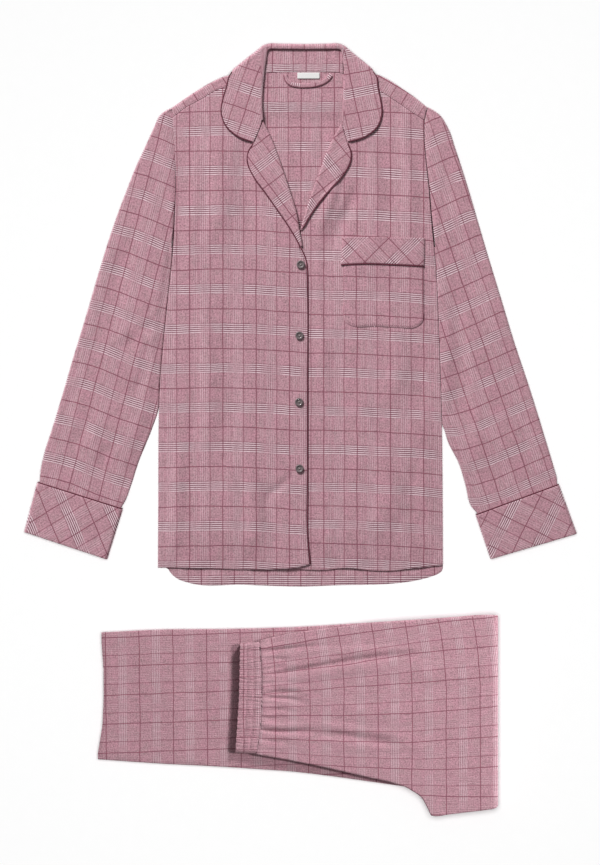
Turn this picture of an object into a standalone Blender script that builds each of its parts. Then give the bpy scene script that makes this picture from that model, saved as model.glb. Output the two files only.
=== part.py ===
"""Pyjama set laid flat: a notched-collar shirt and its folded trousers.

Every cloth piece is a wall: a smooth middle surface, worked out from short tables of sections, that the Solidify
modifier gives its thickness. Tables and heights are in millimetres, seen from above: x to the right, y towards the
collar, z up from the surface that the set lies on. The wearer's right is at -x. Meshes are written in metres.
"""
import math

import bpy
import numpy as np

MM = 0.001

# ---- driving dimensions, mm ----
CLOTH = 1.2  # brushed flannel
RIB = 1.6  # waistband wall: two layers and the elastic
CUFF = 1.8  # cuff wall: two layers
SEAM = 0.45  # gap left between neighbouring pieces
REST = 0.6  # middle of a cloth wall that rests on the surface
LIE = 1.9  # from the middle of a panel to the middle of what lies on it
PIPING = 1.0  # radius of the piping cord
BESIDE = PIPING + 0.35  # from a cloth edge to the middle of its piping
BUTTON_R = 5.75
BUTTON_H = 2.4

# ---- heights of wall middles, mm ----
Z_BACK_NECK = 3.0  # the back rises here, over the fall of the collar and its piping
Z_UNDERLAP = 2.5  # left front below the right one
Z_OVERLAP = 4.4  # right front above the left one
Z_CHEST = 4.7
Z_SIDE = 2.15  # fronts at the side seams and hems
Z_SLEEVE = 4.6  # upper layer of a sleeve, and the fronts where they join it
Z_SHOULDER = 5.0  # fronts and shoulder seams beside the neck
Z_LEAF = Z_SHOULDER + LIE + 0.1  # collar where it lies on the fronts

# ---- the shirt's edges: x, y ----
SIDE_RIGHT = (
    (-198.3, -191), (-198.3, -99), (-198, -1), (-196.2, 62), (-191, 125), (-185.2, 181), (-180.2, 226),
    (-177.4, 257), (-175.3, 300), (-174, 342), (-175.3, 384), (-177.4, 419), (-178.4, 436), (-180.5, 449),
)
SIDE_LEFT = (
    (199.6, -190), (199.2, -99), (198.4, -15), (196.4, 55), (194.3, 118), (192.1, 174), (189.5, 226),
    (186.5, 257), (182.4, 300), (179.4, 339), (175.4, 377), (172.8, 412), (173, 432), (178, 450),
)
CENTRE_RIGHT = (
    (12.4, -189), (9.3, -150), (9.2, -60), (9.2, 60), (9.2, 195), (7.8, 224), (4, 240), (-0.8, 251), (-2.4, 262),
    (-4, 281), (-7.6, 304), (-15.3, 328), (-25.3, 358), (-35, 386), (-44.8, 411), (-54.3, 429.5),
)
CENTRE_LEFT = (
    (-13, -195), (-13, -60), (-13, 80), (-13, 200), (-12.5, 226), (-9, 245), (-3.5, 262), (2.5, 278), (7.5, 294),
    (13.5, 315), (21, 337), (30.4, 361), (40.2, 389), (49.9, 409), (60.5, 427),
)
HEM_RIGHT = ((-198.3, -191), (-150, -194), (-80, -196), (-30, -195.5), (0, -192.5), (12.4, -189))
HEM_LEFT = ((199.6, -190), (160, -194), (128, -198), (100, -197.5), (66, -194), (30, -197), (-13, -195))
HEM_BACK = (
    (-198.3, -191), (-192, -197), (-182, -205), (-168, -211.5), (-150, -216), (-80, -217.5), (0, -220), (61, -218),
    (122, -215.5), (160, -211.5), (185, -204), (199.6, -190),
)
# from the armhole to the neck
SEAM_RIGHT = ((-178.4, 436), (-160, 450), (-136, 463), (-119, 473), (-104, 478), (-90, 479.5), (-76, 475.3))
SEAM_LEFT = ((173, 432), (147, 449.5), (130, 461), (111, 473), (97, 478.5), (87, 475.3))
# on from the top of the lapel to the shoulder seam
NECK_RIGHT = ((-66.5, 434), (-75.2, 445), (-79.2, 457), (-79, 467), (-76, 475.3))
NECK_LEFT = ((73.2, 431), (83.6, 441.5), (89.6, 455), (89.8, 466), (87, 475.3))
# the fold over each shoulder, and the neck seam of the back
FOLD_RIGHT = ((-180.5, 449), (-146.8, 472), (-119.6, 487.6), (-104, 494), (-90, 496), (-74, 495.5), (-58, 493.5))
FOLD_LEFT = ((178, 450), (163.4, 462), (146.4, 474), (119.2, 491), (106, 496.5), (88, 497), (69, 493.5))
NECK_BACK = ((-58, 493.5), (-49, 498), (-35, 499.3), (6, 500.3), (44, 499.4), (58, 498), (69, 493.5))

# ---- sleeves: outer x, outer y, inner x, inner y of each section, from the armhole to inside the cuff ----
SLEEVE_RIGHT = (
    (-181.5, 451, -177.9, 254),
    (-199, 433, -178.9, 247),
    (-214, 401, -180.9, 236),
    (-228.5, 370, -183.7, 221),
    (-244, 331, -186.5, 201),
    (-259.3, 290, -189.8, 173),
    (-279, 228.5, -193.9, 129),
    (-303, 147, -198.6, 68),
    (-333, 46.5, -209.5, 1),
    (-347.5, -1, -226.4, -46.5),
    (-359, -37.4, -237, -79.4),
    (-363.5, -61, -244.8, -100),
    (-364.6, -75, -251.8, -112.4),
    (-370.4, -99, -259, -135),
)
SLEEVE_LEFT = (
    (179.3, 452, 187.4, 255),
    (204, 423, 188.9, 246.5),
    (216.6, 391, 190.8, 235),
    (229.2, 354.5, 192.4, 219),
    (248.8, 290, 195, 182),
    (262.8, 242.5, 197, 150),
    (278.2, 192, 198.4, 108),
    (302, 114, 200.2, 56),
    (324.4, 46.5, 210.5, -12),
    (340, -4, 221.5, -47),
    (355, -54, 232, -81),
    (358.8, -68, 238.8, -107),
    (359.8, -78, 248.8, -119),
    (367.8, -101, 256.5, -142),
)
LIFT_FROM = 9  # row from which the sleeve rises to enter its cuff
Z_CUFFED = (2.95, 4.5)  # lower and upper wall of a sleeve inside its cuff
# ---- cuffs: outer x, y, inner x, y of the upper edge, then of the lower edge ----
CUFF_RIGHT = ((-368, -75, -248.3, -112.6), (-386.3, -144, -270, -182.3))
CUFF_LEFT = ((362.2, -78, 245.6, -120.6), (387, -146, 266.3, -182))
Z_CUFF = (0.9, 6.6)

# ---- collar, from the gorge round to the back ----
# roll x, y, middle x, y, edge x, y, share of the leaf before the columns of the fold
LEAF_RIGHT = (
    (-51.6, 432.8, -58.8, 416.8, -65.4, 402, 0.45),
    (-52.3, 442, -71.8, 424, -88, 411, 0.45),
    (-52.8, 452.5, -80, 439, -104, 426, 0.45),
    (-52.7, 465, -80, 456, -109.7, 444, 0.5),
    (-52, 478, -79, 471, -107, 462.3, 0.6),
    (-51.2, 487, -75, 485, -101.5, 481, 0.75),
    (-50.3, 495, -73, 495.5, -98.5, 493, 0.88),
)
LEAF_LEFT = (
    (57.6, 430.4, 62.6, 415.8, 66.2, 402.6, 0.45),
    (57.8, 440, 75.4, 422.7, 89, 409.5, 0.45),
    (58.3, 451, 83.6, 436.5, 106.5, 423, 0.45),
    (59.3, 463.7, 85, 453, 113, 441, 0.5),
    (59.8, 477.7, 84.3, 468.5, 111.6, 459, 0.6),
    (60.2, 487, 83, 485, 107.5, 479, 0.75),
    (60.6, 495, 82, 495.5, 106, 491.5, 0.88),
)
# roll x, y, fold x, y, edge x, y, share of the turn: here the fall folds behind the back; where the share is less
# than 1 the edge only gives the way the turn faces
BEHIND = (
    (-49.6, 502, -99.5, 500, -89, 498.3, 0.15),
    (-48.9, 507.5, -98, 504.3, -89, 499, 0.6),
    (-48.1, 512.5, -95, 507.8, -87, 500.3, 0.85),
    (-47.3, 517.5, -89.5, 512, -81, 500.5, 1),
    (-46.5, 523, -76, 522.3, -67, 493, 1),
    (-44.8, 528, -61, 534, -56.5, 483, 1),
    (-41.3, 530.8, -46, 538.2, -45, 474, 1),
    (-27, 531.3, -27, 538.5, -27, 469, 1),
    (6, 531, 6, 538, 6, 467, 1),
    (40, 531.3, 40, 538.6, 39.5, 468.6, 1),
    (53, 530.8, 57, 538.2, 55.5, 474, 1),
    (56.8, 528, 71, 532.3, 66, 483.5, 1),
    (58.4, 523, 85, 521, 76, 493, 1),
    (59.2, 517.5, 96.5, 512, 88, 501, 1),
    (59.8, 512.5, 102, 508.6, 94, 501.2, 0.85),
    (60.3, 507.5, 105.3, 505, 96.5, 500, 0.6),
    (60.5, 502, 107, 500.8, 97, 498.8, 0.15),
)
NECK_MIDDLE = (5, 470)  # the rolls face this point
Z_STAND = 3.0  # inner side of the collar at the back, below the roll
STAND_SEAM = ((-51, 497.9), (-46, 499.2), (-35, 500), (6, 501), (44, 500.1), (55, 499.3), (60, 498.4))
STAND_TOP = ((-48.5, 531), (-43, 534.6), (-34, 535.2), (6, 534.8), (46, 535.3), (54, 534.8), (59.4, 531))
# ---- lapels: outer x, y, roll x, y of each section, from the gorge down ----
LAPEL_RIGHT = (
    (-64.9, 399, -51.8, 430.5),
    (-71.5, 388, -42.3, 412),
    (-73.2, 375.5, -32.5, 387),
    (-64.8, 354.5, -22.8, 359.3),
    (-48, 331, -12.9, 329.3),
    (-30, 305.5, -5.3, 304),
    (-14, 282, -1.2, 281),
    (-4.5, 266, 1.6, 266),
    (0.3, 256.5, 3.4, 256.5),
)
LAPEL_LEFT = (
    (65.4, 399.6, 57.4, 427.7),
    (70, 387, 46.5, 408.4),
    (69.4, 375.5, 36.8, 388),
    (60, 357.3, 27, 360),
    (39.8, 334, 17.8, 336.3),
    (23.5, 314.6, 10.6, 314.6),
    (9.6, 294, 4.6, 294),
    (7, 289.5, 3.2, 289.5),
)
# piping from the right lapel's tip over to the front edge and down to the hem: x, y, z
FRONT_PIPING = (
    (2.8, 250.2, 6.3), (4.6, 246, 5.7), (6.9, 240, 5.1), (8.8, 233.5, 4.7), (10.4, 223, 4.55), (11.1, 195, 4.55),
    (11.1, 110, 4.55), (11, 0, 4.55), (11, -90, 4.55), (11.2, -150, 4.55), (13, -175, 4.55), (14.4, -188.5, 4.55),
)

# ---- pocket: x, y ----
POCKET_TOP = ((60.6, 263), (173, 263))
POCKET_BOTTOM = ((60.6, 163), (63, 150), (73, 144.5), (105, 143.8), (140, 142), (160, 142), (170.5, 149), (173, 163))
BAND_TOP = ((59.8, 269), (116, 268.6), (174, 267.5))
BAND_BOTTOM = ((58, 231), (90, 232.3), (133, 231), (173.4, 229))

BUTTONS = ((0.6, 230.3), (-1.1, 131), (-1.7, 38), (-1, -55))  # x, y
LOOP = ((-21.5, 496), (-19, 488.5), (-12, 482.8), (-3, 481), (8, 480.7), (23, 482.3), (33, 486), (39, 490.5), (43, 496))
LOOP_WIDTH = 6.2
LABEL = (-4, 27, 490.5, 498.8)  # low x, high x, low y, high y
LABEL_WALL = 0.8

# ---- trousers, folded over once: x, upper y, lower y of each section ----
LEG_LOWER = (
    (-274.5, -284, -461.5),
    (-188, -280, -467.5),
    (-110, -279.3, -471.5),
    (-14, -276.8, -478.4),
    (100, -270, -493),
    (200, -263.5, -509),
    (262, -260.6, -522),
)
HIP_UPPER = (
    (262, -260.6, -531),
    (236, -262, -534.2),
    (208, -263.3, -537),
    (187.5, -264.2, -539.4),
    (181.5, -264.4, -535),
    (176, -265, -524),
    (170, -265.4, -515.3),
    (156, -266.5, -504.5),
    (128, -268.2, -493.2),
    (97.6, -270.5, -486.4),
    (62.6, -275, -478.4),
    (27.5, -279, -470.6),
    (-5.4, -283.4, -464),
    (-34, -289.4, -458),
    (-52.5, -294.5, -454),
)
FOLD_X = 276.5  # where the legs turn over
FOLD_STEPS = 5
LEG_MIDDLE = 1.1  # from the middle of a flattened leg to the middle of either wall
Z_LOWER = (1.7, 5.5)  # middles of the flattened legs: outer one of the fold, inner one
Z_UPPER = (15.8, 12.0)
WAIST_SAG = 1.8  # the upper legs sink by this much towards the waistband
TUCK = 1.2  # hidden edges stay this far inside the visible ones
# y share from the upper edge, x of the hip seam, x of the open end
WAISTBAND = ((0, -56, -84), (0.25, -53.2, -84.6), (0.5, -53, -85.6), (0.75, -54.6, -88), (1, -61, -90.8))
WAIST_Y = (-297, -299.5, -453, -451.5)  # upper edge at the seam and at the open end, lower edge at both
Z_WAIST = (8.6, 11.1, 13.6, 16.1)
GATHERS = 30
GATHER_DEPTH = 0.8
# x, y at the band, x, y at the far end, depth, half width: the gathers that run on over the hip
HIP_FOLDS = (
    (-53, -306, 104, -279, 1.6, 6),
    (-53, -321, -10, -316, 0.9, 5.5),
    (-53, -343, 116, -313, 1.4, 6.5),
    (-52, -368, 24, -363, 1.2, 5.5),
    (-52, -386, 10, -383, 0.9, 5),
    (-54, -414, 14, -418, 1.3, 6),
    (-57, -437, -14, -440, 0.8, 5),
)

COLOURS = {  # linear red, green and blue, roughness
    "flannel": ((0.42, 0.26, 0.29), 0.95),
    "flannel_bias": ((0.37, 0.21, 0.25), 0.95),
    "piping": ((0.07, 0.01, 0.022), 0.7),
    "button": ((0.13, 0.11, 0.1), 0.35),
    "label": ((0.85, 0.84, 0.83), 0.8),
}


# ---- curves and surfaces ----
def through(rows, count):
    """Points on a smooth curve through the rows; count is a number, or the shares of its length that are wanted."""
    rows = np.asarray(rows, float)
    if len(rows) == 2:
        at = np.linspace(0, 1, count) if np.isscalar(count) else np.asarray(count)
        return rows[0] + at[:, None] * (rows[1] - rows[0])
    chord = np.r_[0, np.cumsum(np.linalg.norm(np.diff(rows, axis=0), axis=1))]
    slope = np.gradient(rows, chord, axis=0)
    at = np.linspace(0, chord[-1], count) if np.isscalar(count) else np.asarray(count) * chord[-1]
    k = np.clip(np.searchsorted(chord, at, side="right") - 1, 0, len(rows) - 2)
    step = (chord[k + 1] - chord[k])[:, None]
    t = (at - chord[k])[:, None] / step
    return (
        rows[k] * (2 * t**3 - 3 * t**2 + 1)
        + slope[k] * step * (t**3 - 2 * t**2 + t)
        + rows[k + 1] * (3 * t**2 - 2 * t**3)
        + slope[k + 1] * step * (t**3 - t**2)
    )


def ease(value, low, high):
    """0 below low, 1 above high, and a smooth rise between."""
    t = np.clip((np.asarray(value, float) - low) / (high - low), 0, 1)
    return t * t * (3 - 2 * t)


def mix(a, b, t):
    """From a to b as t goes from 0 to 1."""
    return a * (1 - t) + b * t


def unit(vectors):
    """The vectors at length 1."""
    return vectors / np.linalg.norm(vectors, axis=-1, keepdims=True)


def patch(low, high, left, right, u=None, v=None):
    """Coons patch: a plan surface from its four edges. low and high run along u, left and right go up from low."""
    u = (np.linspace(0, 1, len(low)) if u is None else u)[None, :, None]
    v = (np.linspace(0, 1, len(left)) if v is None else v)[:, None, None]
    across = mix(left[:, None], right[:, None], u)
    along = mix(low[None], high[None], v)
    corners = mix(mix(low[0], low[-1], u), mix(high[0], high[-1], u), v)
    return across + along - corners


def with_height(plan, height):
    """Plan points (rows, columns, xy) and their heights as x, y, z."""
    return np.concatenate([plan, np.broadcast_to(height, plan.shape[:-1])[..., None]], axis=-1)


# ---- objects ----
def material(slot):
    """A Principled material with the slot's colour and roughness."""
    colour, roughness = COLOURS[slot]
    made = bpy.data.materials.new(slot)
    made.use_nodes = True
    shader = made.node_tree.nodes["Principled BSDF"]
    shader.inputs["Base Color"].default_value = (*colour, 1)
    shader.inputs["Roughness"].default_value = roughness
    shader.inputs["Metallic"].default_value = 0
    return made


def place(name, data, slot, garment):
    """An object for the data, in the set's collection, under the empty of its garment."""
    made = bpy.data.objects.new(name, data)
    data.materials.append(material(slot))
    bpy.data.collections["pyjama_set"].objects.link(made)
    made.parent = bpy.data.objects[garment]
    return made


def grid_faces(index):
    """Quads between neighbouring rows and columns of point numbers."""
    return np.stack([index[:-1, :-1], index[:-1, 1:], index[1:, 1:], index[1:, :-1]], axis=-1).reshape(-1, 4)


def cloth(name, grid, garment, slot="flannel", wall=CLOTH, ring=False, flaps=()):
    """A wall round the middle surface given by grid (rows, columns, xyz).

    ring joins the last column to the first. Each flap is (first column, last column, rows): more rows that go on from
    those columns of the grid's last row.
    """
    rows, columns = grid.shape[:2]
    index = np.arange(rows * columns).reshape(rows, columns)
    if ring:
        index = np.c_[index, index[:, :1]]
    faces = [grid_faces(index)]
    points = [grid.reshape(-1, 3)]
    used = rows * columns
    for first, last, more in flaps:
        number = np.arange(more.shape[0] * more.shape[1]).reshape(more.shape[:2]) + used
        faces.append(grid_faces(np.r_[index[-1:, first : last + 1], number]))
        points.append(more.reshape(-1, 3))
        used += number.size
    mesh = bpy.data.meshes.new(name)
    mesh.from_pydata((np.concatenate(points) * MM).tolist(), [], np.concatenate(faces).tolist())
    mesh.shade_smooth()
    made = place(name, mesh, slot, garment)
    thick = made.modifiers.new("wall", "SOLIDIFY")
    thick.thickness = wall * MM
    thick.offset = 0
    return made


def piping(name, points, closed=False, garment="shirt"):
    """A piping cord along the points."""
    data = bpy.data.curves.new(name, "CURVE")
    data.dimensions = "3D"
    data.bevel_depth = PIPING * MM
    data.bevel_resolution = 2
    data.use_fill_caps = True
    spline = data.splines.new("POLY")
    spline.points.add(len(points) - 1)
    for point, (x, y, z) in zip(spline.points, points):
        point.co = (x * MM, y * MM, z * MM, 1)
    spline.use_cyclic_u = closed
    return place(name, data, "piping", garment)


def beside(edge, inner):
    """The middle of a piping: edge points moved on in the cloth's own surface, square to the edge."""
    run = unit(np.gradient(edge, axis=0))
    away = edge - inner
    away = away - run * np.sum(away * run, axis=1, keepdims=True)
    return edge + unit(away) * BESIDE


# ---- the shirt's panels ----
def side_x(side, y):
    """Distance of the side edge from x = 0 at height y; side is -1 for the wearer's right and 1 for the left."""
    curve = through(SIDE_RIGHT if side < 0 else SIDE_LEFT, 200)
    return np.interp(y, curve[:, 1], np.abs(curve[:, 0]))


def front_height(side, plan):
    """Middle height of a front: low at the side seam and hem, level with the sleeve at the armhole, high at the neck.

    Along the placket the right front lies above the left one.
    """
    x, y = plan[..., 0] * side, plan[..., 1]
    inside = side_x(side, y) - x
    armhole = ease(y, 212, 260)
    chest = Z_CHEST + 0.25 * np.sin(x / 31) * np.sin(y / 67)
    z = mix(mix(Z_SIDE, Z_SLEEVE, armhole), chest, ease(inside, 0, 34))
    z = mix(z, Z_SHOULDER, ease(y, 395, 455) * ease(inside, 20, 70))
    placket, rises = (Z_OVERLAP, (232, 300)) if side < 0 else (Z_UNDERLAP, (268, 345))
    z = mix(z, placket, (1 - ease(x, 16, 58)) * (1 - ease(y, *rises)))
    wave = 0.9 * ease(np.cos((x - (150 if side < 0 else 72)) / 15), 0.1, 1) * ease(inside, 6, 34) * ease(x, 12, 40)
    hem = np.maximum(mix(placket, Z_SIDE, ease(x, 16, 50)), Z_SIDE) if side < 0 else Z_SIDE
    return mix(hem + wave, z, ease(y, -197, -140))


def back_height(plan):
    """Middle height of the back: on the surface, rising at the neck over the fall of the collar."""
    x, y = plan[..., 0], plan[..., 1]
    return mix(REST, Z_BACK_NECK, ease(y, 428, 454) * (1 - ease(np.abs(x - 4), 106, 140)))


FRONT_COLUMNS = np.array([0, 0.03, 0.08, 0.16, 0.28, 0.42, 0.56, 0.7, 0.82, 0.92, 1])
FRONT_ROWS = np.r_[np.linspace(0, 0.91, 19), np.linspace(0.91, 1, 6)[1:]]


def front_plan(side):
    """Plan of a front: a patch between hem, side, shoulder seam and the line up the centre edge and the neck."""
    sides, centre = (SIDE_RIGHT, CENTRE_RIGHT + NECK_RIGHT) if side < 0 else (SIDE_LEFT, CENTRE_LEFT + NECK_LEFT)
    hem, seam = (HEM_RIGHT, SEAM_RIGHT) if side < 0 else (HEM_LEFT, SEAM_LEFT)
    low, high = through(hem, FRONT_COLUMNS), through(seam, FRONT_COLUMNS)
    return patch(low, high, through(sides[:-1], FRONT_ROWS), through(centre, FRONT_ROWS), FRONT_COLUMNS, FRONT_ROWS)


SHOULDER_COLUMNS = np.array([0, 0.16, 0.28, 0.42, 0.56, 0.7, 0.82, 0.92, 1])  # shared with the fronts
BACK_ROWS = np.r_[np.linspace(0, 0.93, 14), 0.965, 1]


def shoulder_flap(side, axis, outward, radius):
    """The rows of the back that turn over a shoulder and lie on the front side, down to the forward seam."""
    seam = through(SEAM_RIGHT if side < 0 else SEAM_LEFT, SHOULDER_COLUMNS) + (0, SEAM + 0.1)
    if side > 0:
        seam = seam[::-1]
    z_low = back_height(axis)
    z_high = mix(Z_SLEEVE, Z_SHOULDER, ease(np.abs(axis[:, 0]), 165, 105))
    rows = []
    for turn in np.radians([-30, 30, 90]):
        plan = axis + outward * radius[:, None] * math.cos(turn)
        rows.append(with_height(plan, (z_low + z_high) / 2 + radius * math.sin(turn)))
    for share in (0.5, 1):
        rows.append(with_height(mix(axis, seam, share), z_high))
    return np.stack(rows)


def back():
    """The back panel, with both shoulders turned over to the front."""
    right = through(FOLD_RIGHT, SHOULDER_COLUMNS)
    left = through(FOLD_LEFT, SHOULDER_COLUMNS)[::-1]
    neck = np.asarray(NECK_BACK, float)
    axes, flaps = [], []
    for side, fold in ((-1, right), (1, left)):
        run = unit(np.gradient(fold, axis=0))
        outward = np.stack([-run[:, 1], run[:, 0]], axis=1)
        z_high = mix(Z_SLEEVE, Z_SHOULDER, ease(np.abs(fold[:, 0]), 165, 105))
        radius = (z_high - back_height(fold)) / 2
        axis = fold - outward * (radius + CLOTH / 2)[:, None]
        axes.append(axis)
        flaps.append(shoulder_flap(side, axis, outward, radius))
    top = np.r_[axes[0], neck[1:-1], axes[1]]
    last, wide = len(top) - 1, len(SHOULDER_COLUMNS) - 1
    length = np.r_[0, np.cumsum(np.linalg.norm(np.diff(top, axis=0), axis=1))]
    u = length / length[-1]
    low = through(HEM_BACK, u)
    sides = [through(edge, BACK_ROWS) for edge in (SIDE_RIGHT, SIDE_LEFT)]
    sides[0][-1], sides[1][-1] = top[0], top[-1]
    plan = patch(low, top, *sides, u, BACK_ROWS)
    flap_columns = ((0, wide, flaps[0]), (last - wide, last, flaps[1]))
    cloth("back", with_height(plan, back_height(plan)), "shirt", flaps=flap_columns)


def fronts():
    """Both fronts; the right one laps over the left."""
    for side, name in ((-1, "front_right"), (1, "front_left")):
        plan = front_plan(side)
        cloth(name, with_height(plan, front_height(side, plan)), "shirt")


# ---- sleeves and cuffs ----
def square_to(edge, towards):
    """Unit plan vectors square to an edge, on the side of the points in towards."""
    if len(edge) < 2:
        return unit(towards - edge)
    run = unit(np.gradient(edge, axis=0))
    square = np.stack([-run[:, 1], run[:, 0]], axis=1)
    return square * np.sign(np.sum(square * (towards - edge), axis=1, keepdims=True))


def flattened(outer, inner, low, high, shares, wall, bow=0):
    """Rings of a flattened tube: the upper wall from the outer edge to the inner one, a round, and back below.

    outer and inner are the edges' plan points (stations, xy), low and high the middle heights of the two walls, bow
    plan shifts of the points between the edges.
    """
    low, high = (np.broadcast_to(value, len(outer))[:, None] for value in (low, high))
    radius = (high - low) / 2
    from_outer, from_inner = square_to(outer, inner), square_to(inner, outer)
    a = outer + from_outer * (radius + wall / 2)
    b = inner + from_inner * (radius + wall / 2)
    plan = mix(a[:, None], b[:, None], np.asarray(shares)[None, :, None]) + bow
    rings = [with_height(plan, high)]
    for edge, way, angles in ((b, -from_inner, (45, 0, -45)), (a, -from_outer, (-45, 0, 45))):
        turn = np.radians(angles)
        points = edge[:, None] + way[:, None] * (radius * np.cos(turn))[..., None]
        rings.append(with_height(points, (high + low) / 2 + radius * np.sin(turn)))
    rings.insert(2, with_height(plan[:, ::-1], low))
    return np.concatenate(rings, axis=1)


def armhole(side, shares):
    """Plan points of the sleeve's side of the armhole seam, from the shoulder down to the underarm."""
    y = mix(450.5 if side < 0 else 451.5, 255, np.asarray(shares))
    away = SEAM + (CLOTH / 2 + 0.1) * (1 - ease(y, 256, 282) + ease(y, 425, 448))
    curve = through(SIDE_RIGHT if side < 0 else SIDE_LEFT, 200)
    beyond = curve[-1] + (curve[-1] - curve[-8]) * 0.4
    curve = np.r_[curve, beyond[None]]
    x = np.interp(y, curve[:, 1], curve[:, 0])
    return np.stack([x + side * away, y], axis=1)


SLEEVE_COLUMNS = (0, 0.07, 0.16, 0.32, 0.5, 0.68, 0.85, 1)


def sleeve(side):
    """A sleeve: a flattened tube from the armhole into the cuff, its inner edge along the body."""
    rows = np.asarray(SLEEVE_RIGHT if side < 0 else SLEEVE_LEFT, float)
    outer, inner = rows[:, :2].copy(), rows[:, 2:].copy()
    along_body = inner[:, 1] > -5
    clear = side * (side_x(side, inner[:, 1]) + SEAM + CLOTH / 2 + 0.1)
    inner[along_body, 0] = clear[along_body]
    seam = armhole(side, SLEEVE_COLUMNS)
    run = unit(outer[1] - seam[0])
    outer[0] = seam[0] + np.array([-run[1], run[0]]) * side * ((Z_SLEEVE - REST) / 2 + CLOTH / 2)
    inner[0] = seam[-1]
    number = np.arange(len(rows))
    straight = mix(seam[0], seam[-1], np.asarray(SLEEVE_COLUMNS)[:, None])
    bow = (seam - straight)[None] * (1 - ease(number, 0, 4))[:, None, None]
    enter = ease(number, LIFT_FROM, LIFT_FROM + 2)
    low = mix(REST, Z_CUFFED[0], enter)
    high = mix(Z_SLEEVE + 0.35 * np.sin(number * 1.9) * (number > 2), Z_CUFFED[1], enter)
    rings = flattened(outer, inner, low, high, SLEEVE_COLUMNS, CLOTH, bow)
    cloth("sleeve_right" if side < 0 else "sleeve_left", rings, "shirt", ring=True)


def cuff(side):
    """A turned-back cuff: a flattened band round the sleeve's end, and the piping ring on its upper edge."""
    edges = np.asarray(CUFF_RIGHT if side < 0 else CUFF_LEFT, float)
    name = "cuff_right" if side < 0 else "cuff_left"
    shares = np.linspace(0, 1, 4)[:, None]
    rows = mix(edges[0][None], edges[1][None], shares)
    rings = flattened(rows[:, :2], rows[:, 2:], *Z_CUFF, np.linspace(0, 1, 6), CUFF)
    cloth(name, rings, "shirt", slot="flannel_bias", wall=CUFF, ring=True)
    line = edges[0].reshape(2, 2) + unit(edges[0, :2] - edges[1, :2]) * BESIDE
    low, high = PIPING + 0.05, Z_CUFF[1] - 0.15
    ring = flattened(line[:1], line[1:], low, high, np.linspace(0, 1, 4), 2 * PIPING)[0]
    piping("piping_" + name, ring, closed=True)


# ---- collar and lapels ----
def leaf_section(row, pivot):
    """Section of the collar on a front, from the top of the roll out to the leaf's edge."""
    middle, edge = np.array(row[2:4], float), np.array(row[4:6], float)
    shares = np.r_[np.linspace(0, row[6], 4), np.linspace(row[6], 1, 7)[1:]]
    return [(*p, Z_LEAF) for p in through([pivot, middle, edge], shares)]


def behind_section(row, pivot):
    """Section of the collar round the back, from the top of the roll over the fold and under the back."""
    fold, edge, share = np.array(row[2:4], float), np.array(row[4:6], float), row[6]
    radius = (Z_LEAF - REST) / 2
    outward = unit(fold - edge)
    axis = fold - outward * (radius + CLOTH / 2)
    points = [(*mix(pivot, axis, t), Z_LEAF) for t in (0, 1 / 3, 2 / 3)]
    angles = np.linspace(90, 90 - 180 * share, 7) if share < 1 else (90, 45, 0, -45, -90)
    for turn in np.radians(angles):
        points.append((*(axis + outward * radius * math.cos(turn)), REST + radius * (1 + math.sin(turn))))
    if share == 1:
        points += [(*mix(axis, edge, t), REST) for t in (0.5, 1)]
    return points


def collar():
    """The collar from gorge to gorge with its piping, and its inner side at the back, which ends under the roll."""
    rows = LEAF_RIGHT + BEHIND + LEAF_LEFT[::-1]
    roll = np.array([row[:2] for row in rows], float)
    bulge = square_to(roll, np.asarray(NECK_MIDDLE, float))
    radius = (Z_LEAF - Z_SHOULDER) / 2
    pivot = roll - bulge * (radius + CLOTH / 2)
    turn = np.radians([-90, -30, 30])
    curl = pivot[:, None] + bulge[:, None] * radius * np.cos(turn)[:, None]
    flat = [behind_section(r, p) if r in BEHIND else leaf_section(r, p) for r, p in zip(rows, pivot)]
    grid = np.concatenate([with_height(curl, Z_SHOULDER + radius * (1 + np.sin(turn))), np.array(flat)], axis=1)
    cloth("collar", grid, "shirt")
    stand = mix(through(STAND_SEAM, 12), through(STAND_TOP, 12), np.linspace(0, 1, 5)[:, None, None])
    cloth("collar_stand", with_height(stand, Z_STAND + np.linspace(0, 0.3, 5)[:, None]), "shirt")
    edge = grid[:, -1]
    path = beside(edge, grid[:, -2])
    path[:, 2] = np.maximum(path[:, 2], PIPING + 0.03)
    level = np.sqrt(np.maximum(BESIDE**2 - (path[:, 2:] - edge[:, 2:]) ** 2, 0))
    level[len(LEAF_RIGHT) : -len(LEAF_LEFT)] += 0.5  # farther off where it turns under the back
    path[:, :2] = edge[:, :2] + unit(path[:, :2] - edge[:, :2]) * level
    path[0], path[-1] = mix(path[0], path[1], 0.12), mix(path[-1], path[-2], 0.12)
    piping("piping_collar", path)


LAPEL_SHARES = np.array([0, 0.25, 0.5, 0.75, 1])


def lapel(side):
    """A lapel turned back on its front: flat from the outer edge to the roll, then round and down to the front."""
    rows = np.asarray(LAPEL_RIGHT if side < 0 else LAPEL_LEFT, float)
    outer, roll = rows[:, :2], rows[:, 2:]
    inward = unit(roll - outer)
    radius = LIE / 2
    axis = roll - inward * (radius + CLOTH / 2)
    plan = mix(outer[:, None], axis[:, None], LAPEL_SHARES[None, :, None])
    flat = with_height(plan, front_height(side, plan) + LIE)
    angles = np.radians([45, 0, -45, -90])
    curl = axis[:, None] + inward[:, None] * (radius * np.cos(angles))[None, :, None]
    curl_z = (front_height(side, axis) + radius)[:, None] + radius * np.sin(angles)[None]
    grid = np.concatenate([flat, with_height(curl, curl_z)], axis=1)
    name = "lapel_right" if side < 0 else "lapel_left"
    cloth(name, grid, "shirt")
    path = beside(flat[:, 0], flat.mean(axis=(0, 1)))
    if side < 0:
        path = np.r_[path, np.asarray(FRONT_PIPING, float)]
    piping("piping_front_right" if side < 0 else "piping_lapel_left", path)


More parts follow.
